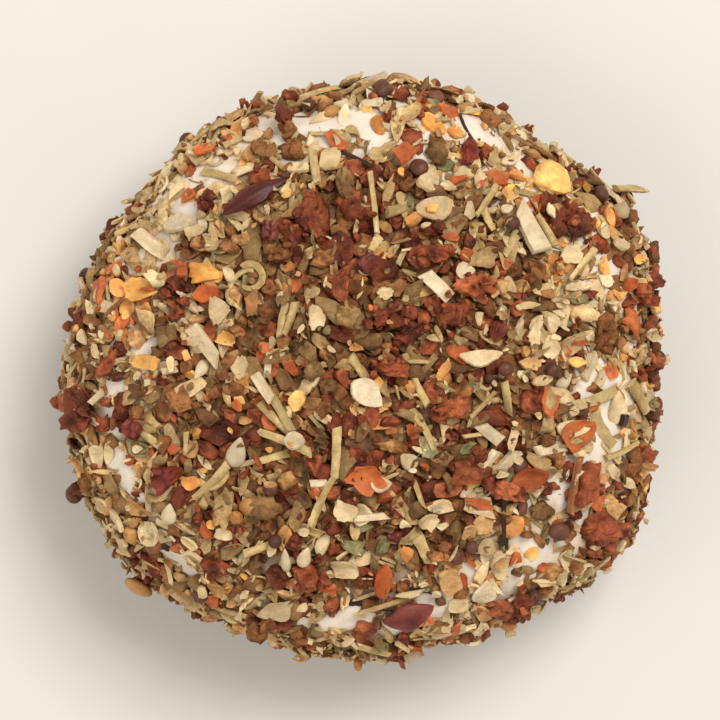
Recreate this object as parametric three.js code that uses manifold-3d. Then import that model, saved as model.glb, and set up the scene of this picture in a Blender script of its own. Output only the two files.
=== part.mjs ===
// A small round of fresh goat cheese, rolled all over in dried vegetables, herbs and seeds.
// Millimetres, +Z up. The origin is the middle of the flat base.

import * as THREE from 'three';
import { mergeVertices } from 'three/addons/utils/BufferGeometryUtils.js';
import Module from 'manifold-3d';

// The round, out to the bed of the coating
const GIRTH_RADIUS = 31.2; // mean radius at the widest level
const GIRTH_LEVEL = 13; // height of the widest level above the base
const ROUND_HEIGHT = 30; // height in the middle of the top
const UNDERSIDE_DEPTH = 15.8; // depth of the whole curve below the girth, before the base cuts it flat
const SQUARENESS = 2.8; // 2 gives an ellipse, more gives squarer shoulders
const ROUND_DETAIL = 12; // cuts along each edge of the 20 starting faces

// How the outline strays from a circle, seen from above: lobes, height in mm, peak in degrees
const OUTLINE_WAVES = [
  { lobes: 2, height: 0.7, peak: 13 },
  { lobes: 3, height: 0.5, peak: 88 },
  { lobes: 4, height: 0.3, peak: 35 },
  { lobes: 5, height: 0.25, peak: 36 },
  { lobes: 6, height: 0.5, peak: 26 },
  { lobes: 7, height: 0.4, peak: 22 },
];

// Soft swells of cheese shaped by hand: radians per mm along x, y and z, and a phase
const SWELL_HEIGHT = 0.3;
const SWELLS = [
  { run: [0.21, 0.13, 0.05], phase: 0.4 },
  { run: [-0.11, 0.24, 0.09], phase: 2.1 },
  { run: [0.28, -0.19, 0.12], phase: 4.0 },
  { run: [0.05, -0.33, -0.2], phase: 1.2 },
];

// The coating: fine crumbs are relief on the bed, larger pieces are solids
const CRUMB_RELIEF = 0.7; // how far the crumbs lift or lower a point of the bed
const PIECE_SPACING = 5.0; // least distance between the middles of two spread pieces
const PIECE_TRIES = 5000;
const LOWEST_PIECE = 1.6; // height of the lowest spread piece above the base
const FLAKE_THICKNESS = 0.8;
const PIECE_TILT = 0.35; // radians, how far a piece leans out of the bed at most
const RANDOM_SEED = 20417;

// Share of each form among the spread pieces, with its length and width in mm
const PIECE_MIX = [
  { form: 'flake', share: 0.46, length: [2.4, 4.4], width: [1.8, 3.0] },
  { form: 'lump', share: 0.26, length: [2.4, 4.2], width: [1.8, 3.0] },
  { form: 'stick', share: 0.2, length: [3.0, 6.0], width: [0.8, 1.4] },
  { form: 'seed', share: 0.08, length: [1.6, 2.0], width: [1.6, 2.0] },
];

// The pieces that stand out from above: form, x and y of the middle, length, width, turn in degrees
const STANDOUT_PIECES = [
  ['lump', -12.0, 18.5, 7.7, 2.2, 30],
  ['lump', -10.1, 14.8, 3.0, 2.8, 70],
  ['flake', 17.2, 15.1, 6.4, 2.1, -61],
  ['lump', 20.0, 20.4, 3.4, 3.2, 0],
  ['lump', 20.4, 16.1, 5.3, 3.7, 90],
  ['flake', 12.7, 12.4, 4.8, 3.0, 25],
  ['flake', 7.3, 9.0, 4.5, 1.8, -45],
  ['lump', 11.5, 8.7, 4.3, 2.6, 10],
  ['flake', 7.1, 17.2, 3.9, 3.2, 0],
  ['lump', 3.9, 22.7, 3.6, 3.0, 80],
  ['stick', 0.4, 17.8, 6.6, 0.8, 90],
  ['lump', -5.8, 16.3, 4.8, 3.9, 90],
  ['stick', -6.1, 23.9, 7.6, 0.9, -72],
  ['flake', -3.5, 24.9, 3.4, 2.0, -40],
  ['flake', -1.8, 31.0, 2.6, 2.4, 0],
  ['flake', -24.6, 9.0, 4.7, 3.2, 10],
  ['flake', -23.4, 1.3, 4.3, 2.0, 0],
  ['stick', -17.3, 2.8, 5.7, 1.5, -56],
  ['flake', 0.3, -2.4, 4.1, 3.0, -35],
  ['flake', 11.8, 1.2, 5.1, 2.2, 5],
  ['stick', 24.7, -2.8, 5.4, 1.2, 20],
  ['lump', 19.4, -3.2, 4.3, 3.0, 80],
  ['flake', 22.1, -6.3, 4.1, 3.9, 0],
  ['lump', -30.8, -4.2, 5.1, 4.1, 90],
  ['stick', -8.7, -7.3, 6.3, 0.8, -18],
  ['lump', -21.2, -11.3, 3.9, 3.0, 45],
  ['lump', -11.1, -14.3, 4.3, 3.2, 20],
  ['lump', -15.2, -14.3, 4.7, 2.6, 90],
  ['flake', -0.4, -11.7, 4.7, 3.9, 0],
  ['flake', 17.3, -11.4, 4.3, 3.4, 30],
  ['lump', 23.3, -12.5, 6.4, 2.6, 60],
  ['lump', 24.7, -16.9, 4.3, 3.6, 80],
  ['flake', -1.2, -18.8, 3.6, 2.0, 20],
  ['flake', 8.8, -22.3, 3.6, 3.0, 70],
  ['lump', 4.4, -25.8, 5.6, 2.8, 15],
  ['lump', 14.7, -25.2, 3.6, 2.8, 40],
  ['lump', 31.0, -0.3, 3.2, 3.0, 0],
];

// The longest stem lies in an open bend over the top
const STEM_PLACES = [[-3.2, -6.3], [-3.1, -9.8], [-5.4, -15.6], [-5.7, -16.9]];
const STEM_THICKNESS = 1.0;
const STEM_STEPS = 7;
const STEM_LIFT = 0.45;

const COATING_COLOUR = '#a08158';

const wasm = await Module();
wasm.setup();

// Small seeded generator, so that every build gives the same pieces
function makeRandom(seed) {
  let state = seed;
  return () => {
    state = (state + 0x6d2b79f5) | 0;
    let mixed = Math.imul(state ^ (state >>> 15), 1 | state);
    mixed = (mixed + Math.imul(mixed ^ (mixed >>> 7), 61 | mixed)) ^ mixed;
    return ((mixed ^ (mixed >>> 14)) >>> 0) / 2 ** 32;
  };
}

const random = makeRandom(RANDOM_SEED);
const between = (low, high) => low + (high - low) * random();

// Share by which the outline is wider or narrower than its mean at an angle in radians
function outlineShare(angle) {
  const stray = OUTLINE_WAVES.reduce(
    (sum, wave) => sum + wave.height * Math.cos(wave.lobes * (angle - THREE.MathUtils.degToRad(wave.peak))),
    0,
  );
  return 1 + stray / GIRTH_RADIUS;
}

function swellAt(point) {
  const sum = SWELLS.reduce(
    (total, { run, phase }) =>
      total + Math.sin(run[0] * point.x + run[1] * point.y + run[2] * point.z + phase),
    0,
  );
  return (SWELL_HEIGHT * sum) / Math.sqrt(SWELLS.length);
}

const depthTowards = (rise) => (rise > 0 ? ROUND_HEIGHT - GIRTH_LEVEL : UNDERSIDE_DEPTH);

// Where a ray from the middle of the girth leaves the round
function surfacePoint(direction) {
  const angle = Math.atan2(direction.y, direction.x);
  const across = Math.hypot(direction.x, direction.y) / (GIRTH_RADIUS * outlineShare(angle));
  const along = Math.abs(direction.z) / depthTowards(direction.z);
  const reach = (across ** SQUARENESS + along ** SQUARENESS) ** (-1 / SQUARENESS);
  const point = direction.clone().multiplyScalar(reach);
  point.addScaledVector(direction, swellAt(point));
  point.z += GIRTH_LEVEL;
  return point;
}

// Outward normal of the smooth round at a point on it
function surfaceNormal(point) {
  const rise = point.z - GIRTH_LEVEL;
  const across = Math.hypot(point.x, point.y);
  const inward = Math.max(across, 1e-6);
  const slopeAcross = (across / GIRTH_RADIUS) ** (SQUARENESS - 1) / GIRTH_RADIUS;
  const depth = depthTowards(rise);
  const slopeUp = (Math.sign(rise) * (Math.abs(rise) / depth) ** (SQUARENESS - 1)) / depth;
  return new THREE.Vector3(
    (slopeAcross * point.x) / inward,
    (slopeAcross * point.y) / inward,
    slopeUp,
  ).normalize();
}

// The point of the upper surface below x, y, or the girth where x, y lies outside it
function pointFromAbove(x, y) {
  const share = Math.hypot(x, y) / (GIRTH_RADIUS * outlineShare(Math.atan2(y, x)));
  const inside = Math.min(share, 0.99);
  const rise = (ROUND_HEIGHT - GIRTH_LEVEL) * (1 - inside ** SQUARENESS) ** (1 / SQUARENESS);
  const scale = share > inside ? inside / share : 1;
  return surfacePoint(new THREE.Vector3(x * scale, y * scale, rise).normalize());
}

// One closed mesh with shared corners merged, as a solid
function toSolid(geometry) {
  const bare = geometry.clone();
  bare.deleteAttribute('normal');
  bare.deleteAttribute('uv');
  const merged = mergeVertices(bare);
  return new wasm.Manifold(
    new wasm.Mesh({
      numProp: 3,
      vertProperties: new Float32Array(merged.attributes.position.array),
      triVerts: new Uint32Array(merged.index.array),
    }),
  );
}

// Moves each shared corner of a geometry once
function moveCorners(geometry, move) {
  geometry.deleteAttribute('normal');
  geometry.deleteAttribute('uv');
  const merged = mergeVertices(geometry);
  const places = merged.attributes.position;
  const corner = new THREE.Vector3();
  for (let i = 0; i < places.count; i += 1) {
    corner.fromBufferAttribute(places, i);
    move(corner);
    places.setXYZ(i, corner.x, corner.y, corner.z);
  }
  return merged;
}

// The round with the crumbs of its coating as relief
function makeRound() {
  const ball = new THREE.IcosahedronGeometry(1, ROUND_DETAIL);
  return moveCorners(ball, (corner) => {
    const direction = corner.clone().normalize();
    corner.copy(surfacePoint(direction));
    corner.addScaledVector(direction, between(-CRUMB_RELIEF, CRUMB_RELIEF));
  });
}

// A thin chip with a jagged outline, flat on the XY plane
function makeFlake(length, width) {
  const corners = 5 + Math.floor(random() * 3);
  const outline = [];
  for (let i = 0; i < corners; i += 1) {
    const angle = ((i + between(-0.28, 0.28)) * 2 * Math.PI) / corners;
    const reach = between(0.8, 1.15) / 2;
    outline.push(new THREE.Vector2(length * reach * Math.cos(angle), width * reach * Math.sin(angle)));
  }
  const chip = new THREE.ExtrudeGeometry(new THREE.Shape(outline), {
    depth: FLAKE_THICKNESS,
    bevelEnabled: false,
  });
  return chip.translate(0, 0, -FLAKE_THICKNESS / 2);
}

// A dried crumb of vegetable, rough and about as thick as it is wide
function makeLump(length, width) {
  const crumb = new THREE.IcosahedronGeometry(1, 0);
  return moveCorners(crumb, (corner) => {
    corner.multiplyScalar(between(0.82, 1.18));
    corner.multiply(new THREE.Vector3(length / 2, width / 2, width / 2.6));
  });
}

// A piece of stalk, thinner at one end
function makeStick(length, width) {
  const stalk = new THREE.CylinderGeometry(width * 0.38, width * 0.55, length, 6);
  return stalk.rotateZ(Math.PI / 2);
}

function makeSeed(diameter) {
  return new THREE.SphereGeometry(diameter / 2, 7, 5);
}

const PIECE_MAKERS = { flake: makeFlake, lump: makeLump, stick: makeStick, seed: makeSeed };
const PIECE_LIFT = { flake: 0.35, lump: 0.45, stick: 0.3, seed: 0.4 };

// Lays a piece on the round, its length turned by an angle from the direction that lies along +X
function layPiece(geometry, point, turn, lift, lean) {
  const normal = surfaceNormal(point);
  const along = new THREE.Vector3(1, 0, 0).projectOnPlane(normal);
  if (along.lengthSq() < 0.05) along.set(0, 1, 0).projectOnPlane(normal);
  along.normalize().applyAxisAngle(normal, turn);
  const side = new THREE.Vector3().crossVectors(normal, along);
  normal.applyAxisAngle(along, between(-lean, lean)).applyAxisAngle(side, between(-lean, lean));
  along.projectOnPlane(normal).normalize();
  side.crossVectors(normal, along);
  const place = new THREE.Matrix4().makeBasis(along, side, normal);
  place.setPosition(point.clone().addScaledVector(surfaceNormal(point), lift));
  return geometry.applyMatrix4(place);
}

function makeStandoutPieces(taken) {
  return STANDOUT_PIECES.map(([form, x, y, length, width, degrees]) => {
    const point = pointFromAbove(x, y);
    taken.push(point);
    const turn = THREE.MathUtils.degToRad(degrees);
    return layPiece(PIECE_MAKERS[form](length, width), point, turn, PIECE_LIFT[form], 0.1);
  });
}

// The stem that lies in a bend over the top
function makeStem(taken) {
  const places = STEM_PLACES.map(([x, y]) => pointFromAbove(x, y));
  taken.push(...places);
  places.forEach((place) => place.addScaledVector(surfaceNormal(place), STEM_LIFT));
  const section = new THREE.Shape(
    [0, 1, 2, 3, 4, 5].map((i) => {
      const angle = (i * Math.PI) / 3;
      return new THREE.Vector2(Math.cos(angle), Math.sin(angle)).multiplyScalar(STEM_THICKNESS / 2);
    }),
  );
  return new THREE.ExtrudeGeometry(section, {
    steps: STEM_STEPS,
    extrudePath: new THREE.CatmullRomCurve3(places),
  });
}

function pickForm() {
  let draw = random();
  for (const mix of PIECE_MIX) {
    if (draw < mix.share) return mix;
    draw -= mix.share;
  }
  return PIECE_MIX[0];
}

// Pieces thrown over the whole round, each one dropped where another already lies
function makeSpreadPieces(taken) {
  const pieces = [];
  for (let i = 0; i < PIECE_TRIES; i += 1) {
    const direction = new THREE.Vector3(between(-1, 1), between(-1, 1), between(-1, 1)).normalize();
    const point = surfacePoint(direction);
    const free = taken.every((other) => other.distanceTo(point) > PIECE_SPACING);
    if (point.z > LOWEST_PIECE && free) {
      taken.push(point);
      const { form, length, width } = pickForm();
      const piece = PIECE_MAKERS[form](between(...length), between(...width));
      const turn = between(0, 2 * Math.PI);
      pieces.push(layPiece(piece, point, turn, PIECE_LIFT[form], PIECE_TILT));
    }
  }
  return pieces;
}

// Everything below the base plane
function makeBelowBase() {
  const width = 4 * GIRTH_RADIUS;
  return new THREE.BoxGeometry(width, width, width).translate(0, 0, -width / 2);
}

function makeCheese() {
  const taken = [];
  const forms = [makeRound(), makeStem(taken), ...makeStandoutPieces(taken), ...makeSpreadPieces(taken)];
  const joined = wasm.Manifold.union(forms.map(toSolid)).subtract(toSolid(makeBelowBase()));
  const bodies = joined.setTolerance(0.02).decompose();
  bodies.sort((a, b) => b.volume() - a.volume());
  return bodies[0].getMesh();
}

function toGeometry(solid) {
  const geometry = new THREE.BufferGeometry();
  geometry.setAttribute('position', new THREE.BufferAttribute(solid.vertProperties, 3));
  geometry.setIndex(new THREE.BufferAttribute(solid.triVerts, 1));
  geometry.computeVertexNormals();
  return geometry;
}

const coating = new THREE.MeshStandardMaterial({
  color: COATING_COLOUR,
  roughness: 0.8,
  metalness: 0,
  flatShading: true,
});

const cheese = new THREE.Mesh(toGeometry(makeCheese()), coating);
cheese.name = 'cheese';

const goatCheeseRound = new THREE.Group();
goatCheeseRound.add(cheese);

export default goatCheeseRound;
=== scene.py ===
# A small round of fresh goat cheese, rolled all over in dried vegetables, herbs and seeds.
# Lengths are millimetres until a mesh is made, and photo places are pixels of its 720 by 720 frame.
import itertools
import math

import bmesh
import bpy
import numpy as np
from mathutils import Matrix, Vector, kdtree


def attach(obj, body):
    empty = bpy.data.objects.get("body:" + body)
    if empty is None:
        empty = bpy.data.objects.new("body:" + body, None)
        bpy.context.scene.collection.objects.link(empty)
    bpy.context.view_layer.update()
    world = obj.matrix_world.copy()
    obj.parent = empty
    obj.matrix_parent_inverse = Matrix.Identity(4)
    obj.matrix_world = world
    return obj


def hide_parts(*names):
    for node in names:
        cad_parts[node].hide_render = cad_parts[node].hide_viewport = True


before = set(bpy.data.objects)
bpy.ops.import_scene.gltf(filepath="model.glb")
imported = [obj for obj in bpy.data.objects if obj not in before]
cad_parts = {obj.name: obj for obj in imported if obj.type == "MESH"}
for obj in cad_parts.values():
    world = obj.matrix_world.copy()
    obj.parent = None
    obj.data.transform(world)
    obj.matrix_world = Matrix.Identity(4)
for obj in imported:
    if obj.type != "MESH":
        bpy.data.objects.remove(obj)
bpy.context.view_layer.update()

MM = 0.001
RANDOM_SEED = 5173
rng = np.random.default_rng(RANDOM_SEED)

# The round, out to the bed of the coating
GIRTH_RADIUS = 31.2
GIRTH_LEVEL = 13.0
ROUND_HEIGHT = 30.0
UNDERSIDE_DEPTH = 15.8
SQUARENESS = 2.8
# Waves of the girth seen from above: how many round it, height in mm, and degrees of the first crest
OUTLINE_WAVES = ((2, 0.7, 13), (3, 0.5, 88), (4, 0.3, 35), (5, 0.25, 36), (6, 0.5, 26), (7, 0.4, 22))
SWELL_HEIGHT = 0.3
# Low sine waves over the whole round: radians to a mm along x, y and z, and phase
SWELLS = (
    (0.21, 0.13, 0.05, 0.4),
    (-0.11, 0.24, 0.09, 2.1),
    (0.28, -0.19, 0.12, 4.0),
    (0.05, -0.33, -0.2, 1.2),
)
COATING_DEPTH = 0.9  # from the bed of the coating down to the bare cheese
BASE_GAP = 0.7  # what lies between the cheese and the surface that it stands on
FLOOR_CLEARANCE = 0.02
CHEESE_SUBDIVISIONS = 7
# The crumble of the bare cheese: height in mm, noise cells to a mm, and where the noise starts
CRUMBLES = ((0.22, 0.45, 0), (0.2, 1.3, 40))

# The photo's view: nearly straight down, from slightly left of and below the middle
PHOTO_SIZE = 720
MM_PER_PIXEL = 0.107
ROUND_MIDDLE_PIXEL = (366.5, 371.5)
CAMERA_DISTANCE = 300.0
CAMERA_TILT = math.radians(3.0)
CAMERA_SIDE = math.radians(222)
SENSOR_WIDTH = 36.0
PHOTO_MIDDLE = PHOTO_SIZE / 2
VIEW_WIDTH = PHOTO_SIZE * MM_PER_PIXEL
GIRTH_MIDDLE = np.array([0, 0, GIRTH_LEVEL])
# A pixel's ray is searched for the round between these distances from the camera
RAY_START = CAMERA_DISTANCE - 25.0
RAY_END = CAMERA_DISTANCE + 15.0
RAY_STEPS = 500


def paint(red, green, blue):
    """A colour read from 0 to 255 as the eye sees it, turned into linear light."""
    seen = np.array([red, green, blue]) / 255
    return np.where(seen <= 0.04045, seen / 12.92, ((seen + 0.055) / 1.055) ** 2.4)


def unit(vectors):
    """Vectors made one long."""
    return vectors / np.maximum(np.linalg.norm(vectors, axis=-1, keepdims=True), 1e-9)


# Noise

# Odd whole numbers that scatter a cell's coordinates over all 64 bits
SCATTER_X = np.uint64(0x9E3779B97F4A7C15)
SCATTER_Y = np.uint64(0xC2B2AE3D27D4EB4F)
SCATTER_Z = np.uint64(0x165667B19E3779F9)
SCATTER_ALL = np.uint64(0xBF58476D1CE4E5B9)
LOW_BITS = 0xFFFFFF
LAYER_SHIFT = 17.3  # cells between one layer of noise and the next finer one


def lattice_value(cells):
    """A fixed random value from 0 to 1 for each whole-numbered cell."""
    x, y, z = (cells[..., i].astype(np.uint64) for i in range(3))
    mixed = x * SCATTER_X + y * SCATTER_Y + z * SCATTER_Z
    mixed = (mixed ^ (mixed >> np.uint64(29))) * SCATTER_ALL
    mixed = mixed ^ (mixed >> np.uint64(32))
    return (mixed & np.uint64(LOW_BITS)).astype(float) / LOW_BITS


def noise(points):
    """Smooth noise from 0 to 1, one cell to a unit."""
    cells = np.floor(points).astype(np.int64)
    inner = points - cells
    inner = inner * inner * (3 - 2 * inner)
    total = np.zeros(points.shape[:-1])
    for corner in itertools.product((0, 1), repeat=3):
        weight = np.prod(np.where(np.array(corner) == 1, inner, 1 - inner), axis=-1)
        total += weight * lattice_value(cells + np.array(corner))
    return total


def layered_noise(points, layers=3):
    """Noise from -1 to 1 with finer layers on top of it."""
    total = sum(0.5**i * (noise(points * 2**i + LAYER_SHIFT * i) - 0.5) for i in range(layers))
    return 2 * total / sum(0.5**i for i in range(layers))


# The round

def ball(subdivisions):
    """Points and triangles of a unit ball of even triangles."""
    mesh = bmesh.new()
    bmesh.ops.create_icosphere(mesh, subdivisions=subdivisions, radius=1)
    points = np.array([v.co for v in mesh.verts])
    faces = np.array([[v.index for v in f.verts] for f in mesh.faces])
    mesh.free()
    return points, faces


def reach_of_round(directions):
    """How far the bed of the coating lies from the middle of the girth along each direction."""
    x, y, z = directions[..., 0], directions[..., 1], directions[..., 2]
    angle = np.arctan2(y, x)
    stray = sum(
        height * np.cos(lobes * (angle - math.radians(peak))) for lobes, height, peak in OUTLINE_WAVES
    )
    across = np.hypot(x, y) / (GIRTH_RADIUS + stray)
    along = np.abs(z) / np.where(z > 0, ROUND_HEIGHT - GIRTH_LEVEL, UNDERSIDE_DEPTH)
    reach = (across**SQUARENESS + along**SQUARENESS) ** (-1 / SQUARENESS)
    swell = sum(np.sin((a * x + b * y + c * z) * reach + phase) for a, b, c, phase in SWELLS)
    return reach + SWELL_HEIGHT * swell / math.sqrt(len(SWELLS))


def corner_normals(points, faces):
    """Outward normal at each point of a closed mesh, and the surface that belongs to it."""
    a, b, c = (points[faces[:, i]] for i in range(3))
    cross = np.cross(b - a, c - a)
    normals = np.zeros_like(points)
    area = np.zeros(len(points))
    for i in range(3):
        for axis in range(3):
            normals[:, axis] += np.bincount(faces[:, i], cross[:, axis], len(points))
        area += np.bincount(faces[:, i], np.linalg.norm(cross, axis=1) / 6, len(points))
    return unit(normals), area


def shape_cheese():
    """The bare cheese under the coating: soft, hand-shaped and slightly crumbly."""
    directions, faces = ball(CHEESE_SUBDIVISIONS)
    bed = directions * reach_of_round(directions)[:, None]
    bed[:, 2] += GIRTH_LEVEL
    normals, _ = corner_normals(bed, faces)
    crumble = sum(height * layered_noise(bed * cells + start) for height, cells, start in CRUMBLES)
    points = bed + normals * (crumble - COATING_DEPTH)[:, None]
    points[:, 2] = np.maximum(points[:, 2], BASE_GAP)
    return points, faces


# The photo's view

def camera_axes():
    """The camera's place and its right, up and backward directions, in millimetres."""
    back = np.array([
        math.sin(CAMERA_TILT) * math.cos(CAMERA_SIDE),
        math.sin(CAMERA_TILT) * math.sin(CAMERA_SIDE),
        math.cos(CAMERA_TILT),
    ])
    right = unit(np.cross([0, 1, 0], back))
    up = np.cross(back, right)
    shift_x = (PHOTO_MIDDLE - ROUND_MIDDLE_PIXEL[0]) * MM_PER_PIXEL
    shift_y = (ROUND_MIDDLE_PIXEL[1] - PHOTO_MIDDLE) * MM_PER_PIXEL
    target = GIRTH_MIDDLE + right * shift_x + up * shift_y
    return target + back * CAMERA_DISTANCE, right, up, back


EYE, RIGHT, UP, BACK = camera_axes()


def spot_on_round(pixel_x, pixel_y):
    """Where the photo's pixel lies on the round, or the nearest point of its edge."""
    scale = MM_PER_PIXEL / CAMERA_DISTANCE
    ray = RIGHT * (pixel_x - PHOTO_MIDDLE) * scale + UP * (PHOTO_MIDDLE - pixel_y) * scale - BACK
    steps = np.linspace(RAY_START, RAY_END, RAY_STEPS)
    places = EYE + ray * steps[:, None] - GIRTH_MIDDLE
    directions = unit(places)
    outside = np.linalg.norm(places, axis=1) - reach_of_round(directions)
    inside = np.flatnonzero(outside < 0)
    found = inside[0] if len(inside) else int(np.argmin(outside))
    direction = directions[found]
    return direction * reach_of_round(direction) + GIRTH_MIDDLE


# Colours of the pieces, as the photo shows them: each piece shades from one to the other

TOMATO = (((84, 37, 25), (158, 82, 50)), ((106, 50, 32), (178, 100, 62)), ((76, 36, 25), (130, 64, 42)))
PEPPER = (((186, 100, 52), (158, 76, 40)), ((206, 134, 72), (222, 164, 98)), ((170, 84, 46), (198, 112, 62)))
GOLD = (((224, 162, 84), (234, 190, 116)), ((208, 144, 70), (226, 172, 96)))
CREAM = (
    ((214, 189, 146), (187, 158, 113)),
    ((203, 176, 131), (221, 198, 156)),
    ((218, 195, 156), (199, 172, 130)),
)
PALE = (((218, 198, 164), (200, 178, 142)), ((208, 186, 150), (220, 204, 174)))
TAN = (((190, 144, 92), (152, 108, 63)), ((176, 128, 80), (204, 160, 109)), ((156, 109, 65), (126, 83, 50)))
HERB = (
    ((194, 162, 113), (156, 124, 80)),
    ((178, 148, 102), (202, 172, 125)),
    ((158, 128, 84), (128, 98, 62)),
)
GREEN = (((156, 150, 108), (126, 118, 78)), ((146, 140, 98), (114, 106, 68)))
OLIVE = (((144, 110, 68), (110, 78, 48)), ((158, 124, 80), (122, 90, 56)), ((126, 90, 56), (96, 64, 40)))
STRAW = (
    ((194, 168, 116), (158, 130, 82)),
    ((208, 184, 134), (172, 144, 96)),
    ((178, 152, 102), (200, 176, 126)),
)
BROWN = (((104, 64, 38), (154, 101, 61)), ((122, 79, 47), (170, 115, 71)), ((92, 56, 34), (134, 86, 52)))
MUSTARD = (((112, 68, 48), (86, 52, 38)), ((124, 78, 56), (98, 62, 46)), ((98, 62, 48), (76, 48, 37)))
AMBER = (((176, 124, 66), (150, 98, 52)), ((164, 114, 62), (188, 140, 82)))
SESAME = (((198, 180, 148), (178, 156, 122)), ((190, 172, 138), (206, 190, 160)))
BERRY = (((82, 34, 30), (112, 54, 46)), ((92, 40, 34), (128, 66, 54)), ((112, 42, 34), (140, 62, 50)))
BLACK = (((66, 48, 36), (46, 34, 27)),)

# Each kind of piece: its form, its palette, its mesh, and lengths, widths and thicknesses in mm
KINDS = {
    "tomato": ("crag", TOMATO, "tomato_crumbs", (1.2, 3.8), (1.0, 2.8), (0.6, 1.2)),
    "brown": ("crag", BROWN, "brown_crumbs", (1.1, 2.8), (0.9, 2.1), (0.6, 1.1)),
    "pepper": ("flake", PEPPER, "pepper_flakes", (1.3, 3.4), (0.9, 2.3), (0.3, 0.55)),
    "gold": ("flake", GOLD, "pepper_flakes", (1.3, 3.2), (0.9, 2.1), (0.3, 0.6)),
    "cream": ("flake", CREAM, "root_flakes", (1.4, 3.8), (0.6, 2.2), (0.3, 0.6)),
    "pale": ("petal", PALE, "root_flakes", (1.3, 3.0), (0.8, 1.8), (0.3, 0.6)),
    "creamshred": ("leaf", CREAM, "root_flakes", (2.0, 4.6), (0.5, 1.2), (0.14, 0.3)),
    "creamstick": ("block", PALE, "root_flakes", (1.8, 4.2), (0.7, 1.4), (0.5, 0.9)),
    "tan": ("flake", TAN, "tan_flakes", (1.2, 3.6), (0.6, 1.9), (0.25, 0.6)),
    "tanlump": ("crag", TAN, "tan_lumps", (1.2, 2.4), (1.0, 2.0), (0.7, 1.2)),
    "goldlump": ("knob", GOLD, "tan_lumps", (1.8, 3.4), (1.6, 3.0), (1.2, 2.0)),
    "herb": ("leaf", HERB, "herb_leaves", (1.4, 4.2), (0.7, 2.3), (0.14, 0.26)),
    "green": ("leaf", GREEN, "herb_leaves", (1.4, 3.2), (0.9, 2.2), (0.14, 0.24)),
    "shred": ("leaf", HERB, "herb_leaves", (2.0, 4.8), (0.45, 1.1), (0.12, 0.24)),
    "olive": ("leaf", OLIVE, "olive_flakes", (1.2, 3.6), (0.7, 2.0), (0.2, 0.45)),
    "olivelump": ("crag", OLIVE, "tan_lumps", (1.3, 2.6), (1.1, 2.1), (0.7, 1.2)),
    "ribbon": ("ribbon", STRAW, "herb_leaves", (3.2, 6.0), (0.5, 0.8), (0.35, 0.5)),
    "straw": ("stick", STRAW, "straw_stems", (2.4, 6.0), (0.6, 1.1), (0.35, 0.6)),
    "splinter": ("block", STRAW, "straw_stems", (1.6, 4.2), (0.35, 0.8), (0.18, 0.4)),
    "twig": ("stick", BROWN, "straw_stems", (2.0, 4.5), (0.35, 0.6), (0.3, 0.5)),
    "blackstick": ("stick", BLACK, "straw_stems", (1.5, 3.5), (0.25, 0.45), (0.25, 0.4)),
    "mustard": ("seed", MUSTARD, "round_seeds", (1.45, 1.8), (1.4, 1.7), (1.3, 1.6)),
    "amber": ("seed", AMBER, "round_seeds", (1.5, 2.1), (1.4, 1.9), (1.2, 1.7)),
    "black": ("block", BLACK, "round_seeds", (0.8, 1.5), (0.5, 0.9), (0.3, 0.5)),
    "sesame": ("drop", SESAME, "pale_seeds", (1.9, 2.9), (1.1, 1.6), (0.7, 0.9)),
    "berry": ("crag", BERRY, "berry_skins", (1.4, 2.8), (1.1, 2.1), (0.7, 1.3)),
    "pod": ("pod", BERRY, "berry_skins", (3.0, 5.0), (1.4, 2.2), (1.1, 1.6)),
}

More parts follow.
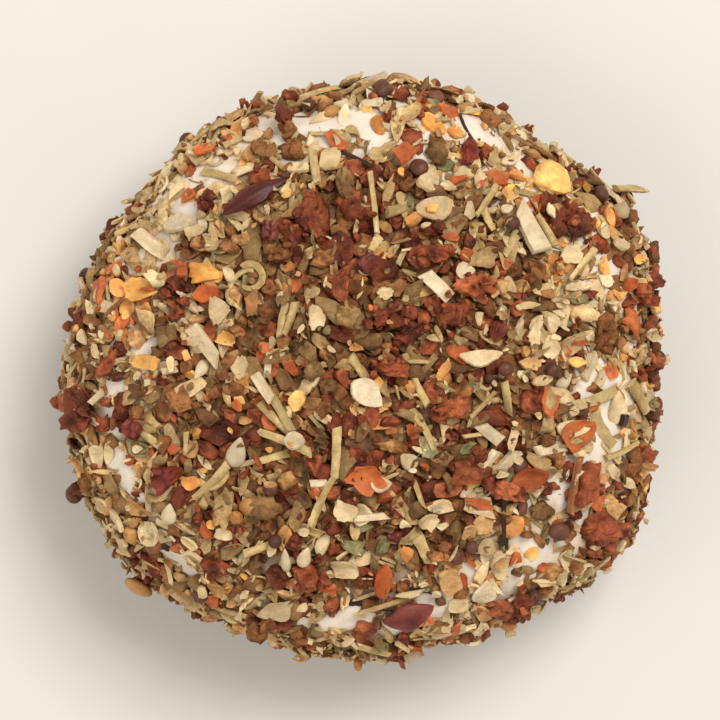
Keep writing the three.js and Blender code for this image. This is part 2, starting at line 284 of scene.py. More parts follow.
# The pieces that the photo shows clearly: kind, pixel x and y of the middle, length and width in
# pixels, and degrees anticlockwise from the photo's right
SHOWN_PIECES = (
    # Upper left
    ("cream", 147, 181, 15, 8, 50), ("pepper", 190, 194, 20, 18, 0), ("tomato", 212, 201, 18, 12, 0),
    ("pepper", 206, 150, 22, 12, 40), ("cream", 180, 152, 22, 16, 20), ("herb", 219, 126, 32, 12, 15),
    ("creamstick", 152, 243, 42, 15, -42), ("cream", 211, 243, 27, 24, 0), ("straw", 219, 171, 40, 8, -20),
    ("pale", 178, 224, 34, 24, 0), ("cream", 198, 236, 24, 22, 60), ("brown", 190, 243, 26, 9, -52),
    ("straw", 160, 212, 30, 10, 88), ("cream", 152, 207, 28, 12, 80), ("pod", 254, 199, 74, 23, 210),
    ("tanlump", 240, 239, 24, 22, 0),
    # Top
    ("cream", 350, 78, 25, 22, 0), ("mustard", 383, 92, 16, 16, 0), ("straw", 300, 136, 46, 9, -65),
    ("straw", 316, 166, 38, 8, -80), ("tanlump", 263, 151, 28, 24, 0), ("brown", 294, 147, 28, 26, 0),
    ("pepper", 334, 139, 32, 18, -40), ("tomato", 284, 126, 18, 12, 90),
    ("blackstick", 356, 159, 40, 5, -40), ("cream", 333, 159, 30, 24, 80),
    ("olivelump", 347, 187, 36, 20, 90), ("pepper", 403, 159, 36, 28, 80), ("berry", 272, 233, 28, 26, 60),
    ("tomato", 312, 219, 45, 36, 90), ("cream", 433, 211, 38, 30, 10), ("straw", 371, 206, 64, 6, 92),
    ("straw", 376, 245, 18, 10, 60), ("tomato", 262, 176, 24, 16, 20),
    # Upper right
    ("creamstick", 527, 230, 62, 21, -61), ("goldlump", 553, 181, 34, 32, 0),
    ("berry", 469, 147, 28, 20, 80), ("blackstick", 469, 123, 30, 3, -60), ("gold", 483, 138, 13, 10, 80),
    ("mustard", 506, 227, 16, 15, 0), ("straw", 565, 149, 24, 7, -10), ("straw", 489, 219, 26, 9, -70),
    ("straw", 484, 202, 36, 7, 60), ("tomato", 557, 221, 50, 35, 80), ("tomato", 581, 230, 34, 24, 60),
    ("herb", 485, 256, 46, 28, 25), ("straw", 618, 197, 28, 12, -15), ("straw", 540, 232, 34, 8, -62),
    ("olivelump", 436, 151, 30, 22, -60), ("herb", 494, 157, 22, 14, 90),
    ("creamshred", 512, 157, 24, 12, 20), ("pepper", 460, 178, 26, 9, 10), ("cream", 429, 185, 26, 24, 0),
    ("cream", 450, 189, 20, 14, 0), ("cream", 478, 183, 26, 15, 70), ("pepper", 496, 176, 32, 15, -20),
    ("pepper", 520, 173, 22, 10, -15), ("gold", 426, 211, 14, 9, 0), ("cream", 468, 210, 20, 14, 90),
    ("pale", 505, 213, 12, 11, 0), ("herb", 494, 235, 18, 10, -10), ("pepper", 450, 238, 24, 10, -10),
    ("pepper", 415, 222, 20, 15, 20), ("olive", 426, 248, 17, 15, 80), ("straw", 397, 214, 26, 10, 20),
    ("green", 408, 199, 16, 13, 60),
    # Right of the middle
    ("creamstick", 435, 287, 42, 17, -45), ("pale", 466, 275, 20, 18, 0), ("tomato", 474, 290, 42, 24, 5),
    ("tan", 549, 290, 20, 12, 0), ("olive", 541, 306, 30, 13, 5), ("herb", 585, 315, 34, 22, -15),
    ("brown", 606, 331, 44, 24, 82), ("cream", 532, 336, 30, 16, 85), ("pepper", 575, 344, 22, 16, 0),
    ("mustard", 504, 369, 16, 15, 0), ("mustard", 552, 372, 16, 15, 0), ("cream", 477, 360, 48, 20, 5),
    ("pepper", 548, 401, 40, 28, 80), ("pepper", 573, 430, 38, 36, 20), ("straw", 597, 398, 52, 12, 20),
    ("creamstick", 591, 367, 34, 9, 75), ("creamstick", 489, 431, 30, 14, -40),
    ("cream", 508, 437, 30, 11, 80), ("pepper", 443, 371, 30, 11, 65), ("herb", 429, 363, 36, 14, 60),
    ("straw", 421, 393, 30, 8, -60), ("straw", 480, 403, 36, 6, 50), ("green", 470, 387, 18, 16, 0),
    ("tan", 529, 361, 26, 16, 0), ("gold", 605, 264, 24, 12, 88), ("pepper", 635, 319, 26, 22, -40),
    ("tomato", 652, 372, 26, 22, 0), ("black", 625, 421, 14, 8, 90), ("straw", 607, 428, 40, 11, -58),
    ("straw", 640, 397, 34, 8, -60), ("cream", 619, 247, 18, 16, 0), ("cream", 573, 257, 24, 22, 0),
    ("straw", 581, 265, 44, 8, 40), ("gold", 640, 259, 16, 10, 0), ("olive", 654, 247, 22, 14, 80),
    ("pepper", 633, 282, 18, 15, 0), ("tomato", 642, 292, 16, 12, 80), ("green", 581, 299, 22, 12, 0),
    ("gold", 654, 308, 20, 14, 90), ("cream", 651, 336, 18, 16, 0), ("pepper", 660, 334, 14, 11, 0),
    ("gold", 574, 360, 20, 14, 0),
    # Middle
    ("pale", 369, 394, 40, 28, -35), ("tomato", 385, 315, 38, 22, 10), ("tomato", 393, 370, 36, 14, 0),
    ("olivelump", 348, 315, 32, 24, 90), ("cream", 387, 291, 18, 16, 0), ("straw", 282, 320, 34, 9, 80),
    ("straw", 292, 318, 34, 8, 70), ("cream", 318, 315, 30, 20, 90), ("gold", 300, 399, 22, 18, 90),
    ("straw", 285, 440, 60, 8, -18), ("herb", 270, 360, 26, 18, 30), ("creamstick", 263, 390, 34, 10, -60),
    ("olivelump", 317, 371, 24, 22, 0), ("olivelump", 329, 386, 24, 20, 0), ("cream", 238, 367, 30, 20, 90),
    ("ribbon", 238, 286, 62, 6, 65), ("ribbon", 252, 280, 56, 7, 95), ("herb", 254, 300, 34, 15, -75),
    ("tan", 255, 303, 36, 18, 80), ("berry", 365, 264, 24, 20, 0), ("brown", 284, 255, 20, 16, 0),
    ("tomato", 430, 248, 34, 24, 30), ("tomato", 452, 316, 40, 26, -10), ("tomato", 410, 330, 34, 24, 20),
    ("olive", 372, 340, 34, 20, 15),
    # Left
    ("gold", 137, 287, 44, 30, 0), ("pepper", 101, 291, 30, 20, 90), ("gold", 148, 359, 40, 18, 0),
    ("gold", 207, 276, 34, 26, 0), ("pepper", 209, 294, 30, 20, 10), ("creamstick", 205, 345, 54, 15, -56),
    ("gold", 229, 339, 25, 23, 0), ("cream", 223, 311, 34, 24, 80), ("olivelump", 167, 339, 28, 24, 80),
    ("twig", 143, 323, 28, 4, -48), ("twig", 120, 305, 28, 4, 45), ("green", 172, 271, 22, 18, 0),
    ("olive", 138, 389, 24, 20, 0), ("brown", 183, 399, 34, 30, 80), ("tomato", 82, 411, 42, 34, 90),
    ("berry", 136, 429, 24, 18, 80), ("tan", 60, 378, 16, 12, 20), ("cream", 158, 282, 24, 19, -40),
    ("pepper", 152, 290, 18, 5, 0), ("pepper", 186, 277, 26, 12, 85), ("cream", 200, 309, 18, 7, -15),
    ("tomato", 177, 309, 26, 22, 80), ("cream", 193, 344, 20, 13, 20), ("brown", 240, 330, 20, 15, -20),
    ("gold", 186, 358, 16, 9, -70), ("olive", 125, 366, 18, 13, 80),
    # Lower left
    ("sesame", 236, 454, 33, 20, 75), ("sesame", 169, 513, 24, 15, 80), ("pale", 136, 450, 10, 9, 0),
    ("berry", 168, 477, 36, 28, 45), ("amber", 140, 587, 22, 20, 0), ("black", 168, 548, 10, 6, 0),
    ("cream", 121, 540, 20, 16, 0), ("pepper", 191, 480, 22, 16, 10), ("pepper", 172, 447, 20, 15, 0),
    ("tan", 193, 449, 20, 15, 60), ("herb", 224, 505, 44, 24, 90), ("mustard", 81, 492, 16, 15, 0),
    ("straw", 90, 510, 22, 7, -35), ("cream", 224, 532, 20, 15, 0),
    # Bottom
    ("straw", 336, 452, 50, 9, 88), ("straw", 322, 502, 58, 8, 68), ("olivelump", 263, 505, 40, 30, 10),
    ("tanlump", 288, 480, 24, 22, 0), ("herb", 298, 518, 30, 24, 60), ("creamstick", 369, 512, 44, 8, 3),
    ("cream", 345, 510, 28, 26, 0), ("straw", 258, 548, 30, 8, 20), ("pale", 381, 486, 22, 18, 0),
    ("pepper", 363, 481, 44, 36, 10), ("tanlump", 392, 447, 22, 16, 0), ("straw", 403, 510, 34, 10, -65),
    ("straw", 422, 544, 34, 10, -65), ("green", 355, 547, 34, 18, -10), ("green", 383, 549, 22, 18, 60),
    ("green", 404, 555, 24, 18, 80), ("tomato", 312, 571, 30, 28, 0), ("pepper", 381, 576, 34, 22, 80),
    ("pepper", 330, 589, 18, 14, 0), ("cream", 280, 608, 36, 18, 10), ("cream", 341, 568, 34, 24, 0),
    ("pod", 408, 613, 54, 26, 15), ("straw", 387, 600, 60, 5, 18), ("black", 356, 605, 16, 8, 0),
    ("brown", 262, 619, 20, 14, 0), ("mustard", 275, 540, 14, 14, 0), ("amber", 239, 516, 14, 14, 0),
    ("mustard", 274, 488, 14, 14, 0), ("sesame", 288, 557, 26, 12, 85), ("sesame", 306, 550, 22, 14, 70),
    ("pale", 298, 438, 22, 20, 0), ("cream", 473, 650, 22, 20, 0),
    # Lower right
    ("mustard", 453, 553, 16, 16, 0), ("mustard", 558, 526, 19, 18, 0), ("mustard", 474, 547, 14, 14, 0),
    ("mustard", 529, 596, 14, 14, 0), ("blackstick", 504, 517, 45, 5, 90), ("twig", 572, 486, 56, 7, 80),
    ("pepper", 528, 478, 40, 32, 0), ("mustard", 524, 509, 16, 10, 80), ("tan", 449, 582, 32, 28, 80),
    ("pepper", 516, 558, 18, 16, 60), ("gold", 535, 558, 16, 14, 60), ("cream", 425, 518, 26, 22, 0),
    ("olivelump", 455, 529, 15, 13, 60), ("tan", 466, 530, 24, 16, 80), ("pepper", 480, 504, 36, 13, -10),
    ("tan", 484, 524, 27, 22, 0), ("black", 501, 541, 14, 11, 80), ("pepper", 470, 565, 26, 7, -65),
    ("tan", 502, 559, 24, 14, 10), ("olive", 520, 575, 15, 10, 20), ("pale", 485, 591, 28, 26, 80),
    ("cream", 455, 606, 21, 14, 0), ("cream", 408, 592, 34, 8, 10), ("tomato", 516, 600, 24, 18, 0),
    ("olivelump", 547, 513, 26, 20, -20), ("brown", 437, 548, 24, 10, 0), ("tomato", 503, 607, 30, 22, 60),
    ("tomato", 584, 488, 60, 24, 60), ("tomato", 597, 529, 40, 34, 70), ("green", 429, 446, 26, 20, 80),
    ("green", 469, 450, 24, 20, 0), ("pepper", 458, 627, 16, 12, 80), ("tomato", 470, 470, 50, 34, 20),
    ("tomato", 505, 488, 38, 26, -20), ("tomato", 449, 408, 40, 26, 30),
)

# Where the cheese shows bare in the photo: pixel x and y, and radius in pixels
BARE_PATCHES = (
    (268, 122, 16), (290, 116, 12), (322, 124, 13), (352, 122, 14), (378, 128, 13), (346, 150, 7),
    (262, 178, 9), (404, 105, 8), (472, 122, 13), (506, 138, 13), (448, 166, 9), (524, 158, 12),
    (186, 176, 15), (205, 168, 10), (184, 208, 17), (158, 200, 14), (150, 226, 9), (170, 240, 12),
    (214, 186, 10), (134, 252, 13), (262, 118, 9), (590, 206, 12), (610, 262, 11), (612, 284, 9),
    (584, 246, 7), (628, 400, 22), (612, 420, 16), (590, 376, 9), (572, 352, 7), (604, 440, 8),
    (144, 356, 15), (112, 388, 13), (106, 408, 9), (104, 430, 11), (110, 462, 12), (122, 482, 12),
    (136, 500, 6), (170, 556, 11), (188, 574, 9), (298, 624, 9), (354, 622, 16), (330, 632, 9),
    (388, 638, 10), (440, 610, 15), (466, 590, 16), (484, 568, 11), (520, 578, 18), (544, 552, 16),
    (530, 512, 11), (562, 548, 9), (516, 496, 9), (556, 486, 8), (578, 520, 10), (564, 457, 8),
    (505, 370, 6), (422, 622, 9), (440, 636, 8), (570, 505, 7), (318, 146, 6), (330, 250, 4),
    (428, 150, 7), (590, 456, 10), (584, 396, 7), (498, 604, 12), (462, 626, 12), (532, 360, 6),
    (615, 268, 10), (592, 268, 6), (135, 330, 9), (526, 544, 9), (172, 240, 9), (465, 592, 9),
)
BARE_MARGIN = 5.5  # pixels that pieces round a bare patch reach into it
RING_RADIUS = 25.0  # the ring where single pieces lie on the bare cheese
RING_WIDTH = 4.6
RING_CLOSED_SIDE = math.radians(232)  # towards here the coating runs on as thick as elsewhere
RING_CLOSED_SHARE = 0.65

# Where kinds lie thicker or thinner than elsewhere: pixel x and y, radius in pixels, and how many times
RICH_SPOTS = {
    ("tomato", "brown"): (
        (385, 240, 62, 3.0), (478, 430, 55, 2.4), (430, 620, 100, 0.4), (420, 165, 45, 0.4),
        (560, 310, 50, 0.4), (215, 300, 60, 0.5), (545, 345, 55, 0.5),
    ),
    ("tomato",): (
        (556, 220, 40, 3.0), (80, 411, 36, 3.0), (335, 470, 36, 1.6), (595, 500, 48, 3.0),
        (500, 300, 40, 2.0), (300, 205, 45, 1.3),
    ),
    ("olive", "herb", "olivelump"): ((300, 330, 75, 2.2),),
    ("herb", "green"): ((400, 550, 55, 2.2),),
    ("herb", "straw"): ((250, 290, 50, 2.0),),
    ("green",): ((450, 460, 40, 2.5),),
    ("straw",): ((560, 320, 70, 2.0),),
    ("cream", "tan"): ((540, 340, 60, 2.2), (540, 600, 70, 1.8), (645, 450, 60, 1.7)),
    ("cream", "pale"): ((200, 330, 60, 2.2), (170, 180, 60, 2.4)),
    ("cream",): ((470, 600, 55, 1.8),),
    ("mustard",): ((500, 540, 55, 3.0), (530, 370, 40, 3.0)),
    ("pepper", "gold"): ((140, 300, 50, 3.0), (110, 330, 60, 2.5)),
    ("pepper",): ((560, 415, 45, 3.5), (540, 570, 45, 1.8)),
    ("herb", "olive"): ((210, 540, 70, 1.6),),
    ("cream", "pale", "herb", "tan"): ((160, 220, 75, 2.6),),
    ("cream", "straw", "splinter"): ((360, 510, 70, 2.2),),
    ("cream", "tan", "herb"): (
        (415, 175, 60, 2.0), (300, 178, 55, 2.4), (507, 212, 50, 2.2), (470, 205, 55, 1.7),
        (240, 580, 70, 1.8),
    ),
    ("pale", "cream", "splinter"): ((600, 320, 60, 2.0),),
    ("tan", "olive"): ((190, 420, 60, 1.6),),
    ("cream", "herb", "creamshred"): ((565, 310, 55, 3.0), (402, 500, 36, 1.7), (415, 172, 50, 2.0)),
    ("cream", "pale", "creamshred"): ((570, 450, 50, 3.0), (340, 130, 60, 1.6)),
    ("creamshred", "cream"): ((480, 590, 70, 2.0), (440, 615, 95, 2.0), (520, 570, 50, 2.4)),
    ("tomato", "brown", "olive"): (
        (180, 195, 70, 0.3), (565, 440, 45, 0.5), (505, 515, 45, 0.4), (440, 205, 55, 0.45),
        (520, 510, 60, 0.5), (80, 440, 90, 0.5), (400, 505, 42, 0.5),
    ),
    ("cream", "herb"): ((455, 285, 42, 2.2),),
    ("gold", "cream", "pepper"): ((235, 335, 45, 2.4),),
    ("cream", "creamshred", "tan"): (
        (500, 512, 48, 2.6), (222, 228, 50, 2.4), (120, 470, 60, 1.8), (220, 610, 80, 1.6),
    ),
    ("gold", "cream"): ((173, 318, 45, 3.0),),
    ("cream", "gold", "creamshred"): ((566, 340, 50, 2.0),),
    ("brown", "olive"): ((200, 560, 90, 0.6), (240, 140, 90, 0.5), (120, 240, 90, 0.6)),
    ("cream", "tan", "creamshred", "gold"): ((85, 410, 80, 1.8),),
    ("cream", "tan", "pale"): ((235, 320, 50, 1.8),),
}

# Share of each kind among the broad pieces of the lowest layer, those on top, and those of the ring
LITTER_SHARES = {
    "tomato": 0.15, "brown": 0.26, "olive": 0.26, "tan": 0.16, "herb": 0.09, "pepper": 0.05, "cream": 0.03,
}
SPREAD_SHARES = {
    "herb": 0.17, "olive": 0.09, "straw": 0.035, "splinter": 0.06, "shred": 0.12, "creamshred": 0.04,
    "tan": 0.14, "cream": 0.13, "ribbon": 0.012, "tomato": 0.06, "pepper": 0.06, "gold": 0.02,
    "pale": 0.012, "green": 0.02, "brown": 0.03, "olivelump": 0.008, "tanlump": 0.008, "mustard": 0.008,
    "amber": 0.004, "sesame": 0.003, "berry": 0.003, "twig": 0.008, "creamstick": 0.012,
    "blackstick": 0.003, "black": 0.002,
}
RING_SHARES = {
    "herb": 0.15, "olive": 0.06, "straw": 0.025, "splinter": 0.05, "shred": 0.1, "creamshred": 0.1,
    "tan": 0.13, "cream": 0.21, "tomato": 0.04, "pepper": 0.05, "gold": 0.03, "pale": 0.02,
    "green": 0.02, "brown": 0.02, "tanlump": 0.012, "mustard": 0.008, "amber": 0.006,
    "creamstick": 0.015, "black": 0.003, "ribbon": 0.012,
}
# Towards the edge these kinds grow commoner or rarer
EDGE_START = 20.0
EDGE_WIDTH = 8.0
EDGE_CHANGE = {
    "cream": 1.4, "pale": 1.0, "creamshred": 1.4, "gold": 0.9, "tan": 0.7, "creamstick": 0.6, "herb": 0.3,
    "olive": -0.4, "tomato": -0.45, "brown": -0.45, "olivelump": -0.5,
}

# Crumbs finer than the pieces: palette and share
CRUMB_MIX = (
    (OLIVE, 0.26), (HERB, 0.12), (TAN, 0.16), (TOMATO, 0.2), (CREAM, 0.05), (BROWN, 0.14),
    (PEPPER, 0.04), (STRAW, 0.03),
)
# Their lengths in mm
CRUMB_SIZE = (0.5, 1.3)
LOOSE_CRUMB_SIZE = (0.4, 0.9)
SPECK_SIZE = (0.2, 0.4)
# Each layer: how many pieces, how many places a piece takes the lowest of, and its growth
LITTER_PIECES = 3300
LITTER_TRIES = 4
LITTER_GROWTH = 1.25
RING_PIECES = 650
RING_TRIES = 3
RING_GROWTH = 1.15
RING_PAINTED_LIGHT = 1.12  # painted light: thin pieces on white cheese are made lighter in colour, as if lit through from below
PATCH_COVER = 0.2  # how thickly single pieces lie on a bare patch, against elsewhere in the ring
TOP_PIECES = 2500
TOP_TRIES = 4
TOP_GROWTH = 1.15
SHOWN_COVER = 0.06  # how thickly small pieces lie on a shown one, against elsewhere
SMALL_PIECES = 1300
SMALL_TRIES = 1
SMALL_GROWTH = 0.55
FILLING_CRUMBS = 4600
LOOSE_CRUMBS = 500
SPECKS = 120
CLUMPED_KINDS = ("tomato", "brown")
CLUMP_CRUMBS = 4  # small crumbs round each shown piece of these kinds
CLUMP_SIZE = 11  # pixels


# The coating settles piece by piece on what already lies there

PRESSED_INTO_CHEESE = 0.35  # share of its thickness that a piece sinks into bare cheese
PRESSED_INTO_COATING = 0.12  # mm
REST_SHARE = 0.72  # share of what lies under a piece that stays below its underside
SHOWN_REST_SHARE = 0.93  # the same for the thin pieces that the photo shows
STEEPEST_LEAN = 0.55  # the steepest slope of the bed that a piece follows
LEAN_SPREAD = 0.2
SEARCH_MARGIN = 0.6  # mm round a piece in which the bed is looked at
LEAST_POINTS_UNDER = 4  # fewer points than this give no slope
BARE_DEPTH = 0.05  # mm of coating, below which the cheese counts as bare
LEAST_FACING = 0.5  # keeps the coating from growing too deep where the bed turns away

# How finely a piece is made
PLAIN, USUAL, FINE = range(3)


class Bed:
    """The cheese's surface and how high the coating has grown on each point of it."""

    def __init__(self, points, normals, areas):
        self.points = points
        self.normals = normals
        self.areas = areas
        self.across = np.hypot(points[:, 0], points[:, 1])
        self.depth = np.zeros(len(points))
        self.tops = points.copy()
        self.tree = kdtree.KDTree(len(points))
        for i, point in enumerate(points):
            self.tree.insert(point, i)
        self.tree.balance()

    def nearest(self, place):
        return self.tree.find(place)[1]

    def near(self, place, radius):
        return np.array([found[1] for found in self.tree.find_range(place, radius)], int)

    def away_from(self, pixel_x, pixel_y):
        """How far each point lies from what the photo shows at a pixel."""
        return np.linalg.norm(self.points - spot_on_round(pixel_x, pixel_y), axis=1)

    def raise_to(self, touched, heights, place, normal):
        """Lifts the coating at some points to these heights above a place, along its normal."""
        foot = (self.points[touched] - place) @ normal
        facing = np.maximum(self.normals[touched] @ normal, LEAST_FACING)
        self.depth[touched] = np.maximum(self.depth[touched], (heights - foot) / facing)
        self.tops[touched] = self.points[touched] + self.normals[touched] * self.depth[touched, None]


def rest_share(piece):
    """How much of the bed under a piece stays below it. Thin shown pieces lie nearly free on top."""
    shown_and_thin = piece["detail"] == FINE and piece["form"] != "crag"
    return SHOWN_REST_SHARE if shown_and_thin else REST_SHARE


def settle(bed, piece):
    """Lays one piece on the bed: works out its middle and axes, and raises the bed under it."""
    place, normal = piece["place"], piece["normal"]
    length, width, thickness = piece["size"]
    along = piece["along"] - normal * (piece["along"] @ normal)
    along = along / np.linalg.norm(along)
    side = np.cross(normal, along)
    near = bed.near(place, 0.5 * math.hypot(length, width) + SEARCH_MARGIN)
    offset = bed.tops[near] - place
    u, v, w = offset @ along, offset @ side, offset @ normal
    under = (2 * u / length) ** 2 + (2 * v / width) ** 2 < 1.0
    touched, u, v, w = near[under], u[under], v[under], w[under]
    slope_u = slope_v = 0.0
    if len(touched) >= LEAST_POINTS_UNDER:
        plane = np.column_stack([np.ones(len(touched)), u, v])
        fit = np.linalg.lstsq(plane, w, rcond=None)[0]
        slope_u, slope_v = np.clip(fit[1:], -STEEPEST_LEAN, STEEPEST_LEAN)
        rest = np.quantile(w - slope_u * u - slope_v * v, rest_share(piece))
        bare = float((bed.depth[touched] < BARE_DEPTH).mean())
    else:
        closest = bed.nearest(place)
        rest = (bed.tops[closest] - place) @ normal
        bare = float(bed.depth[closest] < BARE_DEPTH)
    sink = bare * PRESSED_INTO_CHEESE * thickness + PRESSED_INTO_COATING
    lean_u, lean_v = piece["lean"]
    up = unit(normal - along * (slope_u + lean_u) - side * (slope_v + lean_v))
    piece["axis_x"] = unit(along - up * (along @ up))
    piece["axis_y"] = np.cross(up, piece["axis_x"])
    piece["axis_z"] = up
    piece["middle"] = place + normal * (rest + thickness / 2 - sink)
    bed.raise_to(touched, rest + thickness - sink + slope_u * u + slope_v * v, place, normal)
    return touched


# Pieces before they are laid

SIZE_DRAW = (1.2, 2.4)  # of the beta draw between a kind's least and greatest length
WIDTH_STRAY = 0.22
LIGHTNESS_STRAY = 0.12
CRUMB_WIDTHS = (0.5, 0.95)  # shares of a crumb's length
CRUMB_THICKNESSES = (0.2, 0.5)
SHOWN_THICKENING = 1.1
SHOWN_LEAN_SHARE = 0.6
THICKEST_SHARE = 0.9  # a shown piece is no thicker than this share of its width
LEAST_SEEN_FACING = 0.45  # on the steep sides, what the camera sees is stretched no more than this allows
MOST_STRETCH = 1.5
CLUMP_REACH_ALONG = (0.3, 0.65)
CLUMP_REACH_ACROSS = (0.4, 0.8)
CLUMP_LENGTHS = (0.7, 1.5)
CLUMP_WIDTHS = (0.6, 1)


def draw_size(kind, growth):
    """Length, width and thickness of a piece, with small ones commoner than large."""
    _, _, _, lengths, widths, depths = KINDS[kind]
    share = rng.beta(*SIZE_DRAW)
    length = lengths[0] + (lengths[1] - lengths[0]) * share
    width_share = np.clip(share + rng.normal(0, WIDTH_STRAY), 0, 1)
    width = widths[0] + (widths[1] - widths[0]) * width_share
    thickness = rng.uniform(*depths)
    return length * growth, min(width, length) * growth, thickness


def draw_colours(palette):
    """The two colours of a piece, a little lighter or darker than the palette's."""
    first, second = palette[rng.integers(len(palette))]
    light = rng.normal(1.0, LIGHTNESS_STRAY)
    return paint(*first) * light, paint(*second) * light


def new_piece(form, mesh, palette, size, place, normal, along, lean=None, detail=USUAL):
    """A piece that isn't laid yet. Its colours are drawn, and its lean if none is given."""
    colours = draw_colours(palette)
    return {
        "form": form,
        "mesh": mesh,
        "size": size,
        "place": place,
        "normal": normal,
        "along": along,
        "lean": rng.normal(0, LEAN_SPREAD, 2) if lean is None else lean,
        "colours": colours,
        "detail": detail,
    }


def random_along(normal):
    """A random direction along the surface."""
    return unit(np.cross(normal, unit(rng.normal(size=3))))


def spread_piece(bed, kind, index, growth, detail, painted_light):
    """A piece of a kind at a point of the bed, grown or shrunk, with its colours lightened by painted light.
    """
    form, palette, mesh = KINDS[kind][:3]
    size = draw_size(kind, growth)
    normal = bed.normals[index]
    along = random_along(normal)
    piece = new_piece(form, mesh, palette, size, bed.points[index], normal, along, detail=detail)
    # Painted light: the colours are made lighter for light that comes through the piece
    piece["colours"] = tuple(colour * painted_light for colour in piece["colours"])
    return piece


def crumb_piece(bed, index, size_range):
    """A fine crumb at a point of the bed."""
    shares = np.array([share for _, share in CRUMB_MIX])
    palette = CRUMB_MIX[rng.choice(len(CRUMB_MIX), p=shares / shares.sum())][0]
    length = rng.uniform(*size_range)
    size = (length, length * rng.uniform(*CRUMB_WIDTHS), length * rng.uniform(*CRUMB_THICKNESSES))
    normal = bed.normals[index]
    along = random_along(normal)
    return new_piece("crumb", "fine_crumbs", palette, size, bed.points[index], normal, along)


def shown_piece(bed, kind, pixel_x, pixel_y, long_pixels, wide_pixels, degrees, detail=FINE):
    """A piece that the photo shows: where its pixel meets the round, turned as it is seen."""
    form, palette, mesh, _, _, depths = KINDS[kind]
    place = spot_on_round(pixel_x, pixel_y)
    index = bed.nearest(place)
    normal = bed.normals[index]
    height = (EYE - place) @ BACK
    scale = MM_PER_PIXEL * height / CAMERA_DISTANCE
    turn = math.radians(degrees)
    seen = RIGHT * math.cos(turn) + UP * math.sin(turn)
    facing = max(normal @ BACK, LEAST_SEEN_FACING)
    along = seen - BACK * (seen @ normal) / facing
    across = np.cross(BACK, seen)
    crossing = across - BACK * (across @ normal) / facing
    length = long_pixels * scale * min(np.linalg.norm(along), MOST_STRETCH)
    width = wide_pixels * scale * min(np.linalg.norm(crossing), MOST_STRETCH)
    thickness = min(rng.uniform(*depths) * SHOWN_THICKENING, width * THICKEST_SHARE)
    lean = rng.normal(0, LEAN_SPREAD * SHOWN_LEAN_SHARE, 2)
    size = (length, width, thickness)
    return new_piece(form, mesh, palette, size, bed.points[index], normal, unit(along), lean, detail)


def clump_pieces(bed, kind, pixel_x, pixel_y, long_pixels, wide_pixels):
    """Small crumbs that cling round a large one."""
    made = []
    for _ in range(CLUMP_CRUMBS):
        turn = rng.uniform(0, 2 * math.pi)
        x = pixel_x + math.cos(turn) * long_pixels * rng.uniform(*CLUMP_REACH_ALONG)
        y = pixel_y + math.sin(turn) * wide_pixels * rng.uniform(*CLUMP_REACH_ACROSS)
        length = CLUMP_SIZE * rng.uniform(*CLUMP_LENGTHS)
        width = length * rng.uniform(*CLUMP_WIDTHS)
        degrees = rng.uniform(0, 180)
        made.append(shown_piece(bed, kind, x, y, length, width, degrees, PLAIN))
    return made


# Where the pieces go

PATCH_RAGGEDNESS = 0.4
PATCH_NOISE = 0.9  # noise cells to a mm
PATCH_START = 0.85  # share of a bare patch's radius where the pieces begin
PATCH_STEEPNESS = 4
LEAST_COVER = 0.008
RING_STRAY = 1.2  # mm that the ring wanders in and out
RING_STRAY_NOISE = 0.15  # noise cells to a mm
RING_STEEPNESS = 4
RING_CLOSED_SPREAD = 1.6
RING_CLOSED_START = 0.4
RING_THINNING = 0.93  # share of the thick coating that is missing on the ring
HEIGHT_BLUR = 0.3  # mm of chance added to each place's depth before the lowest is taken
FILLED_DEPTH = 0.3  # mm of coating, from which no filling crumb is added
LOOSE_ON_RING = 0.4  # how thickly loose crumbs lie there, against elsewhere
# Added to the cover, so that a few small pieces and specks lie on bare cheese too
SMALL_ON_BARE = 0.04
SPECKS_ON_BARE = 0.05


def cover_of(bed):
    """How thickly each point is covered, from nearly 0 where the cheese is bare to 1."""
    cover = np.ones(len(bed.points))
    for pixel_x, pixel_y, radius in BARE_PATCHES:
        ragged = 1 + PATCH_RAGGEDNESS * layered_noise(bed.points * PATCH_NOISE + pixel_x)
        share = bed.away_from(pixel_x, pixel_y) / ((radius + BARE_MARGIN) * MM_PER_PIXEL * ragged)
        cover = cover * np.clip((share - PATCH_START) * PATCH_STEEPNESS, LEAST_COVER, 1)
    return cover


def ring_of(bed):
    """1 on the ring of the shoulder where single pieces lie on the cheese, down to 0 away from it."""
    stray = RING_STRAY * layered_noise(bed.points * RING_STRAY_NOISE)
    away = (bed.across + stray - RING_RADIUS) / RING_WIDTH
    on_top = bed.points[:, 2] > GIRTH_LEVEL
    angle = np.arctan2(bed.points[:, 1], bed.points[:, 0])
    towards = RING_CLOSED_SPREAD * np.cos(angle - RING_CLOSED_SIDE) - RING_CLOSED_START
    closed = RING_CLOSED_SHARE * np.clip(towards, 0, 1)
    return np.exp(-(away**RING_STEEPNESS)) * (1 - closed) * on_top


def weights_of_kinds(bed, cover):
    """For each kind, how likely a piece of it is to lie at each point."""
    edge = np.clip((bed.across - EDGE_START) / EDGE_WIDTH, 0, 1)
    weights = {kind: bed.areas * cover * (1 + EDGE_CHANGE.get(kind, 0) * edge) for kind in SPREAD_SHARES}
    for kinds, spots in RICH_SPOTS.items():
        for pixel_x, pixel_y, radius, times in spots:
            away = bed.away_from(pixel_x, pixel_y) / (radius * MM_PER_PIXEL)
            extra = 1 + (times - 1) * np.exp(-(away**2))
            for kind in kinds:
                weights[kind] = weights[kind] * extra
    return {kind: weight / weight.sum() for kind, weight in weights.items()}


